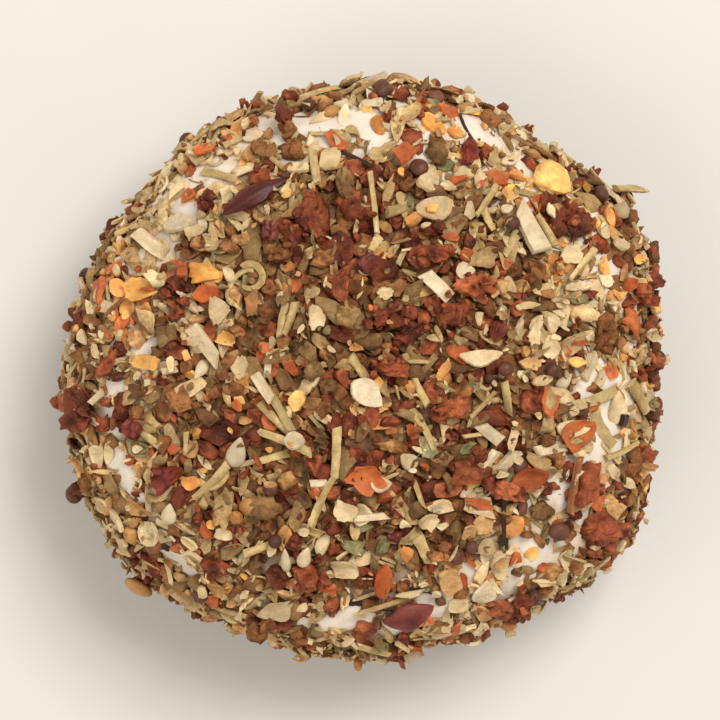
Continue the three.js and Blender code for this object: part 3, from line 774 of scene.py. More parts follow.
def lay_coating(bed):
    """Every piece of the coating, settled from the cheese outwards."""
    cover = cover_of(bed)
    ring = ring_of(bed)
    thick = cover * (1 - RING_THINNING * ring)
    thick_weights = weights_of_kinds(bed, thick)
    ring_weights = weights_of_kinds(bed, np.maximum(cover, PATCH_COVER) * ring)
    clear = np.ones(len(cover))
    pieces = []

    def lay(piece):
        pieces.append(piece)
        return settle(bed, piece)

    def lay_spread(kind_shares, weights, count, tries, growth, detail, painted_light=1.0):
        """Spreads pieces of many kinds. Each takes the lowest of a few places drawn by weight."""
        shares = np.array(list(kind_shares.values()))
        for kind in rng.choice(list(kind_shares), size=count, p=shares / shares.sum()):
            picks = rng.choice(len(cover), size=tries, p=weights[kind])
            index = picks[np.argmin(bed.depth[picks] + rng.uniform(0, HEIGHT_BLUR, tries))]
            lay(spread_piece(bed, kind, index, growth, detail, painted_light))

    def lay_crumbs(count, size_range, chance):
        for index in rng.choice(len(cover), size=count, p=chance / chance.sum()):
            lay(crumb_piece(bed, index, size_range))

    lay_spread(LITTER_SHARES, thick_weights, LITTER_PIECES, LITTER_TRIES, LITTER_GROWTH, PLAIN)
    lay_crumbs(FILLING_CRUMBS, CRUMB_SIZE, bed.areas * thick * (bed.depth < FILLED_DEPTH))
    # The ring's pieces get painted light: their colours are lightened
    lay_spread(RING_SHARES, ring_weights, RING_PIECES, RING_TRIES, RING_GROWTH, USUAL, RING_PAINTED_LIGHT)
    lay_spread(SPREAD_SHARES, thick_weights, TOP_PIECES, TOP_TRIES, TOP_GROWTH, USUAL)
    for shown in SHOWN_PIECES:
        if shown[0] in CLUMPED_KINDS:
            for piece in clump_pieces(bed, *shown[:5]):
                lay(piece)
        clear[lay(shown_piece(bed, *shown))] = SHOWN_COVER
    everywhere = weights_of_kinds(bed, (cover + SMALL_ON_BARE) * clear)
    lay_spread(RING_SHARES, everywhere, SMALL_PIECES, SMALL_TRIES, SMALL_GROWTH, PLAIN)
    lay_crumbs(LOOSE_CRUMBS, LOOSE_CRUMB_SIZE, bed.areas * (thick + LOOSE_ON_RING * cover) * clear)
    lay_crumbs(SPECKS, SPECK_SIZE, bed.areas * (cover + SPECKS_ON_BARE))
    return pieces, cover, thick


# Triangles and outlines that the forms of the pieces share

def ring_faces(first, second, sides):
    """Two triangles for each side between two rings of points."""
    faces = []
    for i in range(sides):
        j = (i + 1) % sides
        faces += [[first + i, second + i, second + j], [first + i, second + j, first + j]]
    return faces


def fan_faces(tip, first, sides, turned=False):
    """Triangles from one point to each side of a ring, wound the other way round if turned."""
    ring = [first + i for i in range(sides)]
    pairs = zip(ring, ring[1:] + ring[:1])
    return [[tip, b, a] if turned else [tip, a, b] for a, b in pairs]


def even_turns(sides):
    return np.arange(sides) * 2 * math.pi / sides


NOISE_STARTS = 900
CHIP_NOISE_STARTS = 500


def noise_starts(count, reach=NOISE_STARTS):
    """Where in the noise each piece starts, so that no two look alike."""
    return rng.uniform(0, reach, (count, 1, 3))


def between_corners(corners, sides):
    """Even steps along the straight edges of each outline."""
    corner_count = corners.shape[1]
    steps = np.arange(sides) * corner_count / sides
    before = steps.astype(int)
    share = (steps - before)[None, :, None]
    return corners[:, before] * (1 - share) + corners[:, (before + 1) % corner_count] * share


def fill_square(outlines):
    """Outlines stretched until each reaches 1 along x and along y."""
    return outlines / np.abs(outlines).max(axis=1, keepdims=True)


def smoothed(outlines):
    """Outlines with their corners rounded off."""
    return (np.roll(outlines, 1, axis=1) + 2 * outlines + np.roll(outlines, -1, axis=1)) / 4


CORNER_COUNTS = (4, 8)  # from four corners to one fewer than eight
CORNER_STRAY = 0.32
FARTHEST_CORNER = 1.15
NEAREST_CORNER = 0.62
NEAREST_CRAG_CORNER = 0.75
WORN_SHARE = 0.3  # share of the outlines that are worn round
WORN_TEARING = 0.06
TEARING = 0.14
DEEPEST_TEAR = 1.6


def torn_outlines(count, sides, nearest_corner=NEAREST_CORNER):
    """Broken outlines of four to seven corners, some with torn edges and some worn round."""
    outlines = np.zeros((count, sides, 2))
    corner_counts = rng.integers(*CORNER_COUNTS, count)
    for corners in range(*CORNER_COUNTS):
        rows = np.flatnonzero(corner_counts == corners)
        stray = rng.uniform(-CORNER_STRAY, CORNER_STRAY, (len(rows), corners))
        turns = (np.arange(corners) + stray) * 2 * math.pi
        turns = turns / corners + rng.uniform(0, 2 * math.pi, (len(rows), 1))
        reach = rng.uniform(nearest_corner, FARTHEST_CORNER, (len(rows), corners))
        points = np.stack([reach * np.cos(turns), reach * np.sin(turns)], axis=-1)
        outlines[rows] = between_corners(points, sides)
    worn = rng.uniform(size=count) < WORN_SHARE
    outlines[worn] = smoothed(outlines[worn])
    tearing = np.where(worn, WORN_TEARING, TEARING)[:, None, None]
    outlines *= 1 - tearing * rng.uniform(0, DEEPEST_TEAR, (count, sides, 1))
    return fill_square(outlines)


PETAL_LOPSIDED = (0.1, 0.5)
PETAL_POINTED = 0.5
PETAL_STRAY = (0.96, 1.02)


def petal_outlines(count, sides):
    """Rounded outlines, wider at one end and nearly pointed at the other."""
    turns = even_turns(sides)
    lopsided = rng.uniform(*PETAL_LOPSIDED, (count, 1))
    across = np.sin(turns) * np.abs(np.sin(turns)) ** PETAL_POINTED * (1 - lopsided * np.cos(turns))
    outlines = np.stack([np.broadcast_to(np.cos(turns), across.shape), across], axis=-1)
    return fill_square(outlines * rng.uniform(*PETAL_STRAY, (count, sides, 1)))


SQUARE_CORNERS = np.array([[-1, -1], [1, -1], [1, 1], [-1, 1]])
SAWN_REACH = (0.62, 1)
SAWN_SLANT = 0.12
SAWN_STRAY = (0.88, 1.08)


def sawn_outlines(count, sides):
    """Narrow four-cornered outlines, one end often slanted or split."""
    corners = SQUARE_CORNERS[None] * rng.uniform(*SAWN_REACH, (count, 4, 1))
    slant = rng.normal(0, SAWN_SLANT, (count, 4))
    corners = corners + np.stack([slant, np.zeros((count, 4))], axis=-1)
    outlines = between_corners(corners, sides)
    outlines[..., 1] *= rng.uniform(*SAWN_STRAY, (count, sides))
    return fill_square(outlines)


# Chips: flakes, petals, leaves, blocks and crumbs, each in its own millimetres round its middle

# Rings of a chip from the middle of its top to its underside: share of the outline, and height
CRUMB_RINGS = ((1.0, 0.6), (0.95, -0.7))
PLAIN_RINGS = ((0.94, 1.0), (1.0, 0.4), (0.97, -0.9))
FLAKE_RINGS = ((0.55, 1.0), (0.95, 0.98), (1.0, 0.4), (0.98, -0.9))
PLAIN_CRAG_RINGS = ((0.45, 1.0), (0.8, 0.75), (1.0, 0.0), (0.85, -0.8))
CRAG_RINGS = ((0.2, 1.0), (0.4, 1.0), (0.6, 0.92), (0.8, 0.75), (1.0, 0.0), (0.85, -0.8))
FOLD_NARROWING = 0.3
# About what each bend adds to a chip's height, taken off again so that the chip stays level
CURL_LEVEL = 0.3
CUP_LEVEL = 0.6
FOLD_LEVEL = 0.4


def chip_template(sides, rings):
    """Triangles and flat map of a chip: a middle, rings out to the rim, and the underside."""
    last = 1 + (len(rings) - 1) * sides
    bottom = 1 + len(rings) * sides
    faces = fan_faces(0, 1, sides)
    for ring in range(len(rings) - 1):
        faces += ring_faces(1 + ring * sides, 1 + (ring + 1) * sides, sides)
    faces = np.array(faces + fan_faces(bottom, last, sides, turned=True))
    map_points = [(0.5, 0.5)]
    for ring in range(len(rings)):
        reach = 0.5 * (ring + 1) / (len(rings) + 1)
        map_points += [(0.5 + reach * math.cos(a), 0.5 + reach * math.sin(a)) for a in even_turns(sides)]
    map_points.append((0.5, 0.5))
    flat = np.array(map_points)[faces]
    # The underside's middle is spread over the outermost circle of the map
    for row, corner in np.argwhere(faces == bottom):
        others = [flat[row, k] - 0.5 for k in range(3) if k != corner]
        flat[row, corner] = 0.5 + unit(others[0] + others[1]) * 0.5
    return faces, flat


def chip_points(sizes, outlines, rings, bend, crumple, grain, raised=0.0):
    """Chips with a cup, a curl, a twist and a fold of their own, crumpled at a grain in mm."""
    count, sides = outlines.shape[:2]
    middle = np.zeros((count, 1, 2))
    flat = np.concatenate([middle, *[outlines * reach for reach, _ in rings], middle], axis=1)
    levels = np.concatenate([[1.0], *[np.full(sides, height) for _, height in rings], [-1.0]])
    length, width, thickness = (sizes[:, i, None] for i in range(3))
    cup, curl, twist = (rng.normal(0, bend, (count, 1)) for _ in range(3))
    cup = cup + raised
    fold = np.abs(rng.normal(0, bend, (count, 1)))
    u, v = flat[..., 0], flat[..., 1]
    x = u * length / 2
    y = v * width / 2 * (1 - FOLD_NARROWING * np.minimum(fold, 1))
    starts = noise_starts(count, CHIP_NOISE_STARTS)
    uneven = layered_noise(np.stack([x, y, np.zeros_like(x)], axis=-1) / grain + starts, 2)
    z = levels * thickness / 2 + crumple * uneven
    z = z + length * 0.5 * curl * (u * u - CURL_LEVEL) + width * 0.5 * cup * (u * u + v * v - CUP_LEVEL)
    z = z + 0.5 * width * twist * u * v + width * 0.5 * fold * (np.abs(v) - FOLD_LEVEL)
    return np.stack([x, y, z], axis=-1)


CRAG_BEND = 0.1
CRAG_LUMPS = (1.3, 0.45)  # size in mm, and height as a share of the thickness
CRAG_FOLDS = (0.75, 0.34)
CRAG_FOLD_START = 31
FOLD_SHARPNESS = 3
CRAG_SIDEWAYS = 0.35
DEEPEST_CRAG = 1.1  # mm


def crag_points(sizes, sides, rings):
    """Shrivelled crumbs of dried fruit, folded and ragged at the rim, and how high each fold is."""
    outlines = torn_outlines(len(sizes), sides, NEAREST_CRAG_CORNER)
    points = chip_points(sizes, outlines, rings, CRAG_BEND, 0.0, 1.0)
    starts = noise_starts(len(sizes), CHIP_NOISE_STARTS)
    lumps = layered_noise(points / CRAG_LUMPS[0] + starts, 2)
    folds = layered_noise(points / CRAG_FOLDS[0] + starts + CRAG_FOLD_START, 2)
    folds = 1 - FOLD_SHARPNESS * np.abs(folds)
    x, y, z = (points[..., i] for i in range(3))
    facing = np.stack([x * CRAG_SIDEWAYS, y * CRAG_SIDEWAYS, np.sign(z)], axis=-1)
    lift = (CRAG_LUMPS[1] * lumps + CRAG_FOLDS[1] * folds) * np.minimum(sizes[:, None, 2], DEEPEST_CRAG)
    return points + facing * lift[..., None], folds


# Seeds, knobs and pods

def ball_template(subdivisions):
    """Points and triangles of a ball and its map, spread out flat from its top."""
    points, faces = ball(subdivisions)
    polar = np.arccos(np.clip(points[:, 2], -1, 1)) / math.pi
    around = unit(points[:, :2])
    flat = (0.5 + around * 0.5 * polar[:, None])[faces]
    return points, faces, flat


DENT_NOISE = 1.4
POD_NOISE = np.array([1.6, 3.2, 3.2])
POD_WRINKLES = 0.3
POD_NARROWING = 0.5
POD_CURVE = 0.3
POD_LEVEL = 0.1
DROP_NARROWING = (0.42, 0.15, 0.12)


def seed_points(sizes, unit_ball, dents):
    """Round seeds and knobs, with shallow or deep dents."""
    starts = noise_starts(len(sizes))
    reach = 1 + dents * layered_noise(unit_ball[None] * DENT_NOISE + starts, 2)
    return unit_ball[None] * reach[..., None] * sizes[:, None, :] / 2


def pod_points(sizes, unit_ball):
    """Wrinkled pods, thick in the middle and pointed at both ends."""
    points = np.repeat(unit_ball[None], len(sizes), axis=0)
    wrinkles = 1 + POD_WRINKLES * layered_noise(points * POD_NOISE + noise_starts(len(sizes)), 2)
    girth = (1 - POD_NARROWING * np.abs(points[..., 0]) ** 1.5) * wrinkles
    points[..., 1] = points[..., 1] * girth + POD_CURVE * points[..., 0] ** 2 - POD_LEVEL
    points[..., 2] *= girth
    return points * sizes[:, None, :] / 2


def drop_points(sizes, unit_ball):
    """Flat seeds that narrow to a point at one end."""
    points = np.repeat(unit_ball[None], len(sizes), axis=0)
    slope, start, curve = DROP_NARROWING
    narrowing = 1 - slope * (points[..., 0] + start) - curve * points[..., 0] ** 2
    points[..., 1] *= narrowing
    points[..., 2] *= narrowing
    return points * sizes[:, None, :] / 2


# Rods: stalks and ribbons

ROD_SAG = 0.03
ROD_SAG_LEVEL = 0.3
ROD_TAPER = 0.25
ROD_KNOTS = (0.9, 1.1)
ROD_SLANT = 0.4
ROD_END_SHAPE = 0.45
MAP_END = 0.05  # share of the map's length that each end face takes up


def rod_template(sides, segments):
    """Triangles and map of a closed rod."""
    last = segments * sides
    start = last + sides
    faces = []
    for ring in range(segments):
        faces += ring_faces(ring * sides, (ring + 1) * sides, sides)
    faces += fan_faces(start, 0, sides)
    faces = np.array(faces + fan_faces(start + 1, last, sides, turned=True))
    flat = np.zeros((len(faces), 3, 2))
    for row, face in enumerate(faces):
        side = (row % (2 * sides)) // 2 if row < 2 * sides * segments else row % sides
        for corner, point in enumerate(face):
            if point >= start:
                flat[row, corner] = (0.0 if point == start else 1.0, (side + 0.5) / sides)
                continue
            ring, step = divmod(point, sides)
            step = sides if step == 0 and side == sides - 1 else step
            flat[row, corner] = (MAP_END + (1 - 2 * MAP_END) * ring / segments, step / sides)
    return faces[:, ::-1], flat[:, ::-1]


def rod_points(sizes, sides, segments, bend_range, ribbed, rounded):
    """Rods bent by an angle in radians, with ribs and slanted or rounded ends."""
    count = len(sizes)
    length, width, thickness = (sizes[:, i, None] for i in range(3))
    steps = np.sin(np.linspace(-1, 1, segments + 1) * math.pi / 2)[None]
    bend = rng.uniform(*bend_range, (count, 1)) * rng.choice([-1, 1], (count, 1))
    angle = bend * steps / 2
    middle_x = length / bend * np.sin(angle)
    middle_y = length / bend * (1 - np.cos(angle))
    middle_y = middle_y - middle_y.mean(axis=1, keepdims=True)
    middle_z = length * rng.normal(0, ROD_SAG, (count, 1)) * (steps**2 - ROD_SAG_LEVEL)
    taper = rng.uniform(-ROD_TAPER, ROD_TAPER, (count, 1))
    knots = rng.uniform(*ROD_KNOTS, (count, segments + 1))
    ends = (1 - rounded * np.abs(steps) ** 5) ** ROD_END_SHAPE
    turns = even_turns(sides)
    ribs = rng.uniform(1 - ribbed, 1 + ribbed, (count, sides))
    girth = ((1 + taper * steps) * knots * ends)[..., None] * ribs[:, None, :]
    slant = rng.normal(0, ROD_SLANT, (count, 1)) * (1 - rounded) * np.abs(steps) ** 6 * np.sign(steps)
    across = np.cos(turns)[None, None] * girth * width[..., None] / 2
    forward = across * slant[..., None]
    cosine, sine = np.cos(angle)[..., None], np.sin(angle)[..., None]
    x = middle_x[..., None] - sine * across + cosine * forward
    y = middle_y[..., None] + cosine * across + sine * forward
    z = middle_z[..., None] + np.sin(turns)[None, None] * girth * thickness[..., None] / 2
    rings = np.stack([x, y, z], axis=-1).reshape(count, -1, 3)
    tips = np.stack([rings[:, :sides].mean(axis=1), rings[:, -sides:].mean(axis=1)], axis=1)
    return np.concatenate([rings, tips], axis=1)


# The forms: points, triangles and map of many pieces at once, and how far each point leans to the
# second colour. What stands in threes is for plain, usual and fine pieces.

# Chips: outlines, how far they bend, how deep they crumple in mm, and how far their rims curl up
CHIP_FORMS = {
    "flake": (torn_outlines, 0.2, 0.2, 0.14),
    "petal": (petal_outlines, 0.12, 0.06, 0.1),
    "leaf": (torn_outlines, 0.42, 0.24, 0.08),
    "block": (sawn_outlines, 0.07, 0.08, 0.0),
}
CHIP_SIDES = (9, 13, 24)
BLOCK_SIDES = (8, 8, 16)
CHIP_RINGS = (PLAIN_RINGS, FLAKE_RINGS, FLAKE_RINGS)
CHIP_GRAIN = 0.9  # mm
RIM_SECOND = 0.28
CRUMB_SIDES = 7
CRUMB_BEND = 0.2
CRUMB_CRUMPLE = 0.12  # mm
CRUMB_GRAIN = 0.6  # mm
CRAG_SIDES = (10, 16, 30)
CRAG_RINGS_OF = (PLAIN_CRAG_RINGS, CRAG_RINGS, CRAG_RINGS)
# How far a crag's colour follows the height of its folds: painted shade in the creases and painted light on
# the ridges
FOLD_SHADE_SHARE = 0.36
# Rods: how far they bend in radians, how ribbed they are, and how round their ends
ROD_FORMS = {"stick": ((0.02, 0.3), 0.16, 0.0), "ribbon": ((2.0, 4.6), 0.2, 0.6)}
ROD_SIDES = (5, 6, 9)
STICK_SEGMENTS = (4, 7, 14)
RIBBON_SEGMENTS = 14
SEED_DENTS = {"seed": 0.05, "knob": 0.34}
SEED_SUBDIVISIONS = 3


def make_chips(form, sizes, detail):
    outlines_of_form, bend, crumple, raised = CHIP_FORMS[form]
    rings = CHIP_RINGS[detail]
    sides = BLOCK_SIDES[detail] if form == "block" else CHIP_SIDES[detail]
    outlines = outlines_of_form(len(sizes), sides)
    points = chip_points(sizes, outlines, rings, bend, crumple, CHIP_GRAIN, raised)
    rim = np.concatenate([[0.0], *[np.full(sides, reach**4) for reach, _ in rings], [0.0]])
    return points, *chip_template(sides, rings), RIM_SECOND * rim[None]


def make_crumbs(sizes):
    outlines = torn_outlines(len(sizes), CRUMB_SIDES)
    points = chip_points(sizes, outlines, CRUMB_RINGS, CRUMB_BEND, CRUMB_CRUMPLE, CRUMB_GRAIN)
    return points, *chip_template(CRUMB_SIDES, CRUMB_RINGS), 0.0


def make_crags(sizes, detail):
    sides, rings = CRAG_SIDES[detail], CRAG_RINGS_OF[detail]
    points, folds = crag_points(sizes, sides, rings)
    # Painted shade in the creases and painted light on the ridges of the folds
    return points, *chip_template(sides, rings), FOLD_SHADE_SHARE * folds


def make_rods(form, sizes, detail):
    sides = ROD_SIDES[detail]
    segments = RIBBON_SEGMENTS if form == "ribbon" else STICK_SEGMENTS[detail]
    points = rod_points(sizes, sides, segments, *ROD_FORMS[form])
    return points, *rod_template(sides, segments), 0.0


def make_balls(form, sizes):
    unit_ball, faces, flat = ball_template(SEED_SUBDIVISIONS)
    if form in SEED_DENTS:
        points = seed_points(sizes, unit_ball, SEED_DENTS[form])
    elif form == "pod":
        points = pod_points(sizes, unit_ball)
    else:
        points = drop_points(sizes, unit_ball)
    return points, faces, flat, 0.0


def make_form(form, sizes, detail):
    if form in CHIP_FORMS:
        return make_chips(form, sizes, detail)
    if form == "crumb":
        return make_crumbs(sizes)
    if form == "crag":
        return make_crags(sizes, detail)
    if form in ROD_FORMS:
        return make_rods(form, sizes, detail)
    return make_balls(form, sizes)


# Meshes and objects

STREAKED_FORMS = ("stick", "block", "ribbon")
STREAK_SIZES = np.array([0.6, 0.45, 0.8])  # shares of the length, width and thickness
SPOT_SIZE = 0.4  # share of the length
SECOND_SHARE = 0.42  # how much of its second colour a piece has on average
SPOT_CONTRAST = 1.2
MAP_MARGIN = 0.06  # of a piece's square on the map
SHARP_ANGLE = math.radians(50)


def turn_outward(points, faces, flat):
    """Triangles wound so that the faces of the first piece point out."""
    a, b, c = (points[0][faces[:, i]] for i in range(3))
    volume = np.einsum("ij,ij->i", a, np.cross(b, c)).sum()
    return (faces, flat) if volume > 0 else (faces[:, ::-1], flat[:, ::-1])


def shade_pieces(points, sizes, colours, form, more_second):
    """Each point's colour: a piece shades between its two colours in spots, or streaks on a stalk."""
    starts = noise_starts(len(points))
    spot_size = sizes[:, None] * STREAK_SIZES if form in STREAKED_FORMS else sizes[:, None, :1] * SPOT_SIZE
    spots = layered_noise(points / spot_size + starts, 2)
    share = np.clip(SECOND_SHARE + SPOT_CONTRAST * spots + more_second, 0, 1)[..., None]
    return colours[:, 0, None] * (1 - share) + colours[:, 1, None] * share


def build_group(pieces, form, detail):
    """World points, triangles, colours and map of the pieces of one form."""
    sizes = np.array([p["size"] for p in pieces])
    local, faces, flat, more_second = make_form(form, sizes, detail)
    faces, flat = turn_outward(local, faces, flat)
    axes = np.array([[p["axis_x"], p["axis_y"], p["axis_z"]] for p in pieces])
    world = np.einsum("nvi,nij->nvj", local, axes)
    world += np.array([p["middle"] for p in pieces])[:, None]
    world[..., 2] = np.maximum(world[..., 2], FLOOR_CLEARANCE)
    colours = shade_pieces(local, sizes, np.array([p["colours"] for p in pieces]), form, more_second)
    shifted = faces[None] + (np.arange(len(pieces)) * local.shape[1])[:, None, None]
    maps = np.repeat(flat[None], len(pieces), axis=0)
    return world, shifted, colours, maps


def place_on_map(maps, first, grid):
    """Gives each piece its own square of the map."""
    cells = first + np.arange(len(maps))
    corner = np.stack([cells % grid, cells // grid], axis=-1)[:, None, None]
    return (corner + MAP_MARGIN + maps * (1 - 2 * MAP_MARGIN)) / grid


def new_mesh(name, points, faces, smooth=True):
    """A mesh of triangles from points in millimetres."""
    mesh = bpy.data.meshes.new(name)
    mesh.vertices.add(len(points))
    mesh.vertices.foreach_set("co", (points * MM).astype(np.float32).ravel())
    mesh.loops.add(faces.size)
    mesh.loops.foreach_set("vertex_index", faces.astype(np.int32).ravel())
    mesh.polygons.add(len(faces))
    mesh.polygons.foreach_set("loop_start", np.arange(len(faces), dtype=np.int32) * 3)
    mesh.polygons.foreach_set("use_smooth", np.full(len(faces), smooth))
    mesh.update(calc_edges=True)
    return mesh


def set_point_colours(mesh, name, colours):
    layer = mesh.color_attributes.new(name, "FLOAT_COLOR", "POINT")
    with_alpha = np.concatenate([np.clip(colours, 0, 1), np.ones((len(colours), 1))], axis=1)
    layer.data.foreach_set("color", with_alpha.astype(np.float32).ravel())


def new_object(name, data):
    made = bpy.data.objects.new(name, data)
    bpy.context.scene.collection.objects.link(made)
    return made


def make_part_of_food(name, mesh, material):
    """A piece of the cheese, which moves with its one body."""
    mesh.materials.append(material)
    made = new_object(name, mesh)
    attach(made, "root")
    return made


def make_coating_object(name, pieces, material):
    """One object for all pieces of a mesh."""
    groups = {}
    for piece in pieces:
        groups.setdefault((piece["form"], piece["detail"]), []).append(piece)
    grid = math.ceil(math.sqrt(len(pieces)))
    points, faces, colours, maps = [], [], [], []
    points_placed = pieces_placed = 0
    for (form, detail), members in sorted(groups.items()):
        world, shifted, tints, flat = build_group(members, form, detail)
        points.append(world.reshape(-1, 3))
        faces.append(shifted.reshape(-1, 3) + points_placed)
        colours.append(tints.reshape(-1, 3))
        maps.append(place_on_map(flat, pieces_placed, grid).reshape(-1, 2))
        points_placed += len(points[-1])
        pieces_placed += len(members)
    mesh = new_mesh(name, np.concatenate(points), np.concatenate(faces), smooth=name != "fine_crumbs")
    mesh.set_sharp_from_angle(angle=SHARP_ANGLE)
    set_point_colours(mesh, "tint", np.concatenate(colours))
    flat_map = mesh.uv_layers.new(name="OFBake")
    flat_map.data.foreach_set("uv", np.concatenate(maps).astype(np.float32).ravel())
    return make_part_of_food(name, mesh, material)


# Materials

NOISE_SPAN = (0.3, 0.7)  # nearly all of the noise lies between these values


def set_inputs(node, values):
    for name, value in values.items():
        node.inputs[name].default_value = value


def add_node(tree, kind, inputs=None, **settings):
    node = tree.nodes.new(kind)
    for name, value in settings.items():
        setattr(node, name, value)
    set_inputs(node, inputs or {})
    return node


def add_noise(tree, size, detail=3.0, roughness=0.55):
    """Noise whose blots are about this many millimetres across."""
    where = add_node(tree, "ShaderNodeTexCoord")
    blots = add_node(
        tree, "ShaderNodeTexNoise", {"Scale": 1 / (size * MM), "Detail": detail, "Roughness": roughness}
    )
    tree.links.new(where.outputs["Object"], blots.inputs["Vector"])
    return blots.outputs["Fac"]


def add_blots(tree, size, least, most, detail=3.0, span=NOISE_SPAN):
    """A value that runs from least to most in blots about this many millimetres across."""
    values = {"From Min": span[0], "From Max": span[1], "To Min": least, "To Max": most}
    node = add_node(tree, "ShaderNodeMapRange", values)
    tree.links.new(add_noise(tree, size, detail), node.inputs["Value"])
    return node.outputs["Result"]


def add_relief(tree, surface, size, strength, depth, roughness=0.55):
    """Gives a surface bumps of this size and depth in millimetres."""
    relief = add_node(tree, "ShaderNodeBump", {"Strength": strength, "Distance": depth * MM})
    tree.links.new(add_noise(tree, size, 5, roughness), relief.inputs["Height"])
    tree.links.new(relief.outputs["Normal"], surface.inputs["Normal"])


def mix_colours(tree, share, first, second, blend="MIX"):
    """The mix of two colours, each a value or another node's output, and so is their share."""
    node = add_node(tree, "ShaderNodeMix", data_type="RGBA", blend_type=blend)
    sockets = {"Factor": share, "A": first, "B": second}
    for name, value in sockets.items():
        socket = next(s for s in node.inputs if s.name == name and s.enabled)
        if isinstance(value, bpy.types.NodeSocket):
            tree.links.new(value, socket)
        else:
            socket.default_value = value
    return next(s for s in node.outputs if s.enabled)


def point_colours(tree, name):
    return add_node(tree, "ShaderNodeVertexColor", layer_name=name).outputs["Color"]


def opaque(red, green, blue):
    return (*paint(red, green, blue), 1)


def new_material(name):
    material = bpy.data.materials.new(name)
    material.use_nodes = True
    tree = material.node_tree
    return material, tree, tree.nodes["Principled BSDF"]


# Broad and fine mottle: size against the grain, how far it darkens and lightens, and noise detail
MOTTLES = ((2.5, 1.0, 0.7, 3.0), (1.0, 0.8, 0.6, 4))
BUMP_SIZE = 0.8  # against the grain
BUMP_DEPTH = 0.5
DULLNESS_STRAY = 0.12
FLECK_SIZE = 0.35  # mm
FLECK_SPAN = (0.64, 0.74)  # only the highest of the noise
FLECK_STRENGTH = 0.32
COAT_ROUGHNESS = 0.3
FLESH_RADIUS = (1.0, 0.55, 0.3)
FLESH_DEPTH = 0.5  # mm


def add_mottle(tree, grain, mottle):
    """Grey values round 1, broad and fine ones multiplied, by which a tint is lightened or darkened."""
    product = add_node(tree, "ShaderNodeMath", operation="MULTIPLY")
    for socket, (size, darker, lighter, detail) in zip(product.inputs, MOTTLES):
        blots = add_blots(tree, grain * size, 1 - mottle * darker, 1 + mottle * lighter, detail)
        tree.links.new(blots, socket)
    grey = add_node(tree, "ShaderNodeCombineColor")
    for channel in ("Red", "Green", "Blue"):
        tree.links.new(product.outputs[0], grey.inputs[channel])
    return grey.outputs[0]


def coating_material(name, roughness, grain, mottle, bump, specular=0.16, coat=0.0, flesh=0.2, flecks=None):
    """Dried pieces: the tint of each one, mottled and rough at the scale of its grain in mm."""
    material, tree, surface = new_material(name)
    tint = point_colours(tree, "tint")
    colour = mix_colours(tree, 1.0, tint, add_mottle(tree, grain, mottle), "MULTIPLY")
    if flecks is not None:
        spots = add_blots(tree, FLECK_SIZE, 0, FLECK_STRENGTH, detail=2, span=FLECK_SPAN)
        colour = mix_colours(tree, spots, colour, flecks)
    tree.links.new(colour, surface.inputs["Base Color"])
    dullness = add_blots(tree, grain, roughness - DULLNESS_STRAY, roughness + DULLNESS_STRAY)
    tree.links.new(dullness, surface.inputs["Roughness"])
    add_relief(tree, surface, grain * BUMP_SIZE, bump, grain * BUMP_DEPTH)
    set_inputs(surface, {
        "Specular IOR Level": specular,
        "Coat Weight": coat,
        "Coat Roughness": COAT_ROUGHNESS,
        "Subsurface Weight": flesh,
        "Subsurface Radius": FLESH_RADIUS,
        "Subsurface Scale": FLESH_DEPTH * MM,
    })
    return material


CHEESE_WHITE = opaque(232, 222, 210)
CHEESE_CREAM = opaque(222, 208, 188)
CHEESE_STAIN = opaque(214, 180, 132)
# Brown on the cheese under the coating, in two tones: the coating's dust, and painted shade of the gaps
# between the pieces
DUST_AND_SHADE_LIGHT = opaque(138, 96, 56)
DUST_AND_SHADE_DARK = opaque(92, 58, 33)


def cheese_material():
    """Fresh white cheese, faintly mottled, with the coating's dust and painted shade of the gaps where the
    coating lies.
    """
    material, tree, surface = new_material("fresh_cheese")
    blots = add_blots(tree, size=3.0, least=0, most=1, span=(0.35, 0.7))
    bare = mix_colours(tree, blots, CHEESE_WHITE, CHEESE_CREAM)
    grains = add_blots(tree, size=0.9, least=0, most=1, detail=4, span=(0.35, 0.65))
    # The coating's dust together with painted shade of the gaps, in brown
    dust_and_shade_colour = mix_colours(tree, grains, DUST_AND_SHADE_LIGHT, DUST_AND_SHADE_DARK)
    channel = add_node(tree, "ShaderNodeSeparateColor")
    tree.links.new(point_colours(tree, "dust_and_shade"), channel.inputs[0])
    stained = mix_colours(tree, channel.outputs[1], bare, CHEESE_STAIN)
    colour = mix_colours(tree, channel.outputs[0], stained, dust_and_shade_colour)
    tree.links.new(colour, surface.inputs["Base Color"])
    dullness = add_blots(tree, size=1.2, least=0.42, most=0.62)
    tree.links.new(dullness, surface.inputs["Roughness"])
    add_relief(tree, surface, size=0.8, strength=0.35, depth=0.25, roughness=0.6)
    set_inputs(surface, {
        "Specular IOR Level": 0.2,
        "Subsurface Weight": 0.35,
        "Subsurface Radius": (1.0, 0.8, 0.55),
        "Subsurface Scale": 1.2 * MM,
    })
    return material


# Light flecks for the dried tomato and brown crumbs: partly dust and partly painted glints of highlight. The
# dark flecks are specks in the pieces.
LIGHT_FLECKS_AND_GLINTS = opaque(196, 138, 96)
DARK_FLECKS = opaque(132, 96, 60)
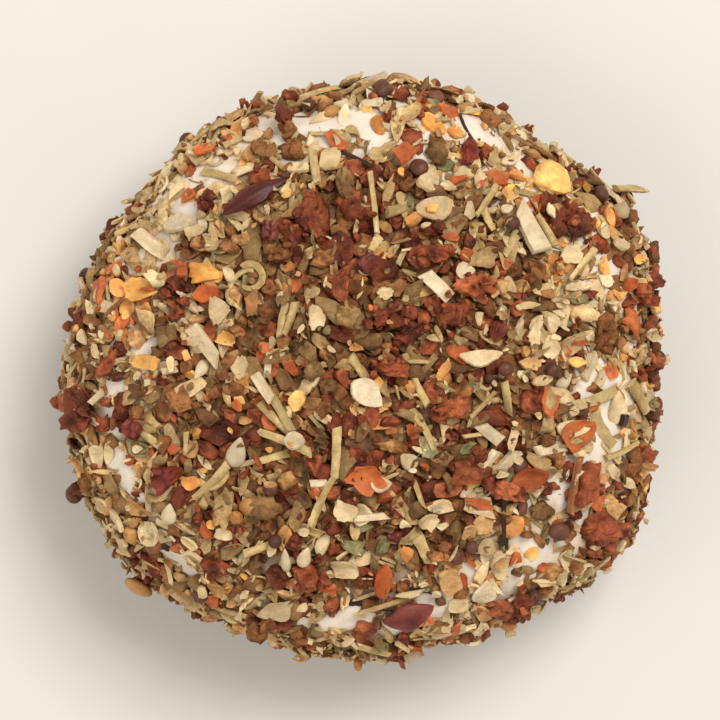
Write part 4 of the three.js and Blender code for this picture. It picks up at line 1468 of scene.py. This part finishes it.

# Each mesh of the coating: a slot name that nothing reads, and how its pieces look
COATING_LOOKS = {
    "tomato_crumbs": (
        "dried_vegetable",
        dict(roughness=0.46, grain=0.35, mottle=0.3, bump=1.0, specular=0.14, flesh=0.1, flecks=LIGHT_FLECKS_AND_GLINTS),
    ),
    "brown_crumbs": (
        "dried_vegetable",
        dict(roughness=0.55, grain=0.35, mottle=0.28, bump=1.0, specular=0.1, flesh=0.1, flecks=LIGHT_FLECKS_AND_GLINTS),
    ),
    "pepper_flakes": ("dried_vegetable", dict(roughness=0.42, grain=0.7, mottle=0.24, bump=0.5, flesh=0.35)),
    "root_flakes": (
        "dried_vegetable",
        dict(roughness=0.64, grain=0.5, mottle=0.16, bump=0.6, flesh=0.3, flecks=DARK_FLECKS),
    ),
    "tan_flakes": (
        "dried_vegetable",
        dict(roughness=0.66, grain=0.4, mottle=0.26, bump=0.7, flecks=DARK_FLECKS),
    ),
    "tan_lumps": ("dried_vegetable", dict(roughness=0.7, grain=0.4, mottle=0.28, bump=0.8)),
    "herb_leaves": ("dried_herb", dict(roughness=0.72, grain=0.4, mottle=0.24, bump=0.8, flecks=DARK_FLECKS)),
    "olive_flakes": ("dried_herb", dict(roughness=0.72, grain=0.4, mottle=0.3, bump=0.8)),
    "straw_stems": ("dried_herb", dict(roughness=0.64, grain=0.4, mottle=0.22, bump=0.6)),
    "round_seeds": ("seed", dict(roughness=0.42, grain=0.3, mottle=0.18, bump=0.35, specular=0.22)),
    "pale_seeds": ("seed", dict(roughness=0.5, grain=0.6, mottle=0.1, bump=0.25, specular=0.35)),
    "berry_skins": ("dried_vegetable", dict(roughness=0.38, grain=0.7, mottle=0.26, bump=0.6, coat=0.15)),
    "fine_crumbs": ("coating", dict(roughness=0.75, grain=0.4, mottle=0.2, bump=0.3)),
}


# How the dust and painted shade on the cheese grow with the thickness of the coating
DUST_AND_SHADE_STEEPNESS = 1.5
DUST_AND_SHADE_START = 0.3
STAIN_STEEPNESS = 1.4
STAIN_START = 0.4
STAIN_NOISE = 0.5  # noise cells to a mm
STAIN_LEVEL = 0.2
STAIN_CONTRAST = 1.4
MOST_STAIN = 0.6


def make_cheese(points, faces, cover, thick):
    """The cheese itself, dusty and darkened with painted shade under the coating, and white where it is bare.
    """
    mesh = new_mesh("cheese_body", points, faces)
    # Painted shade and dust: the cheese turns brown where the coating lies thick
    dust_and_shade = np.clip(thick * DUST_AND_SHADE_STEEPNESS - DUST_AND_SHADE_START, 0, 1)
    patchy = STAIN_LEVEL + STAIN_CONTRAST * layered_noise(points * STAIN_NOISE)
    stain = np.clip(cover * STAIN_STEEPNESS - STAIN_START, 0, 1) * np.clip(patchy, 0, MOST_STAIN)
    set_point_colours(mesh, "dust_and_shade", np.stack([dust_and_shade, stain, dust_and_shade], axis=1))
    made = make_part_of_food("cheese_body", mesh, cheese_material())
    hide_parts("cheese")


# Camera, floor and light

NEAREST_SEEN = 0.01  # metres
FLOOR_HALF = 1.5  # metres
FLOOR_LIGHT = opaque(214, 212, 208)
FLOOR_DARK = opaque(211, 209, 205)
LIGHT_TARGET = Vector((0, 0, 0.015))
# Soft square lights: place and size in metres, power in watts, and colour
SOFT_LIGHTS = {
    "key_light": ((0.15, 0.17, 0.46), 0.22, 2.0, (1.0, 0.97, 0.93)),
    "fill_light": ((-0.3, -0.2, 0.4), 0.4, 0.85, (1.0, 0.98, 0.95)),
}
SURROUND_COLOUR = (0.98, 0.92, 0.82, 1)
SURROUND_STRENGTH = 0.6


def make_camera():
    data = bpy.data.cameras.new("camera")
    data.sensor_width = SENSOR_WIDTH
    data.lens = SENSOR_WIDTH * CAMERA_DISTANCE / VIEW_WIDTH
    data.clip_start = NEAREST_SEEN
    made = new_object("camera", data)
    turn = Matrix([RIGHT, UP, BACK]).transposed().to_4x4()
    made.matrix_world = Matrix.Translation(Vector(EYE * MM)) @ turn
    bpy.context.scene.camera = made


def make_floor():
    """A plain pale floor."""
    material, tree, surface = new_material("pale_floor")
    blots = add_blots(tree, size=40.0, least=0, most=1, detail=2, span=(0.35, 0.65))
    tree.links.new(mix_colours(tree, blots, FLOOR_LIGHT, FLOOR_DARK), surface.inputs["Base Color"])
    set_inputs(surface, {"Roughness": 0.85})
    mesh = bpy.data.meshes.new("floor")
    corners = [(x * FLOOR_HALF, y * FLOOR_HALF, 0) for x, y in SQUARE_CORNERS.tolist()]
    mesh.from_pydata(corners, [], [(0, 1, 2, 3)])
    mesh.materials.append(material)
    made = new_object("floor", mesh)


def make_soft_light(name, place, size, power, colour):
    """A square soft light that faces the cheese."""
    data = bpy.data.lights.new(name, "AREA")
    data.size = size
    data.energy = power
    data.color = colour
    made = new_object(name, data)
    made.location = place
    made.rotation_euler = (Vector(place) - LIGHT_TARGET).to_track_quat("Z", "Y").to_euler()


def make_light():
    for name, values in SOFT_LIGHTS.items():
        make_soft_light(name, *values)
    world = bpy.data.worlds.new("studio")
    world.use_nodes = True
    set_inputs(
        world.node_tree.nodes["Background"], {"Color": SURROUND_COLOUR, "Strength": SURROUND_STRENGTH}
    )
    bpy.context.scene.world = world
    bpy.context.scene.view_settings.view_transform = "Standard"


def main():
    make_camera()
    make_floor()
    make_light()
    points, faces = shape_cheese()
    normals, areas = corner_normals(points, faces)
    pieces, cover, thick = lay_coating(Bed(points, normals, areas))
    make_cheese(points, faces, cover, thick)
    for name, (slot, look) in COATING_LOOKS.items():
        members = [piece for piece in pieces if piece["mesh"] == name]
        make_coating_object(name, members, coating_material(name, **look))


main()
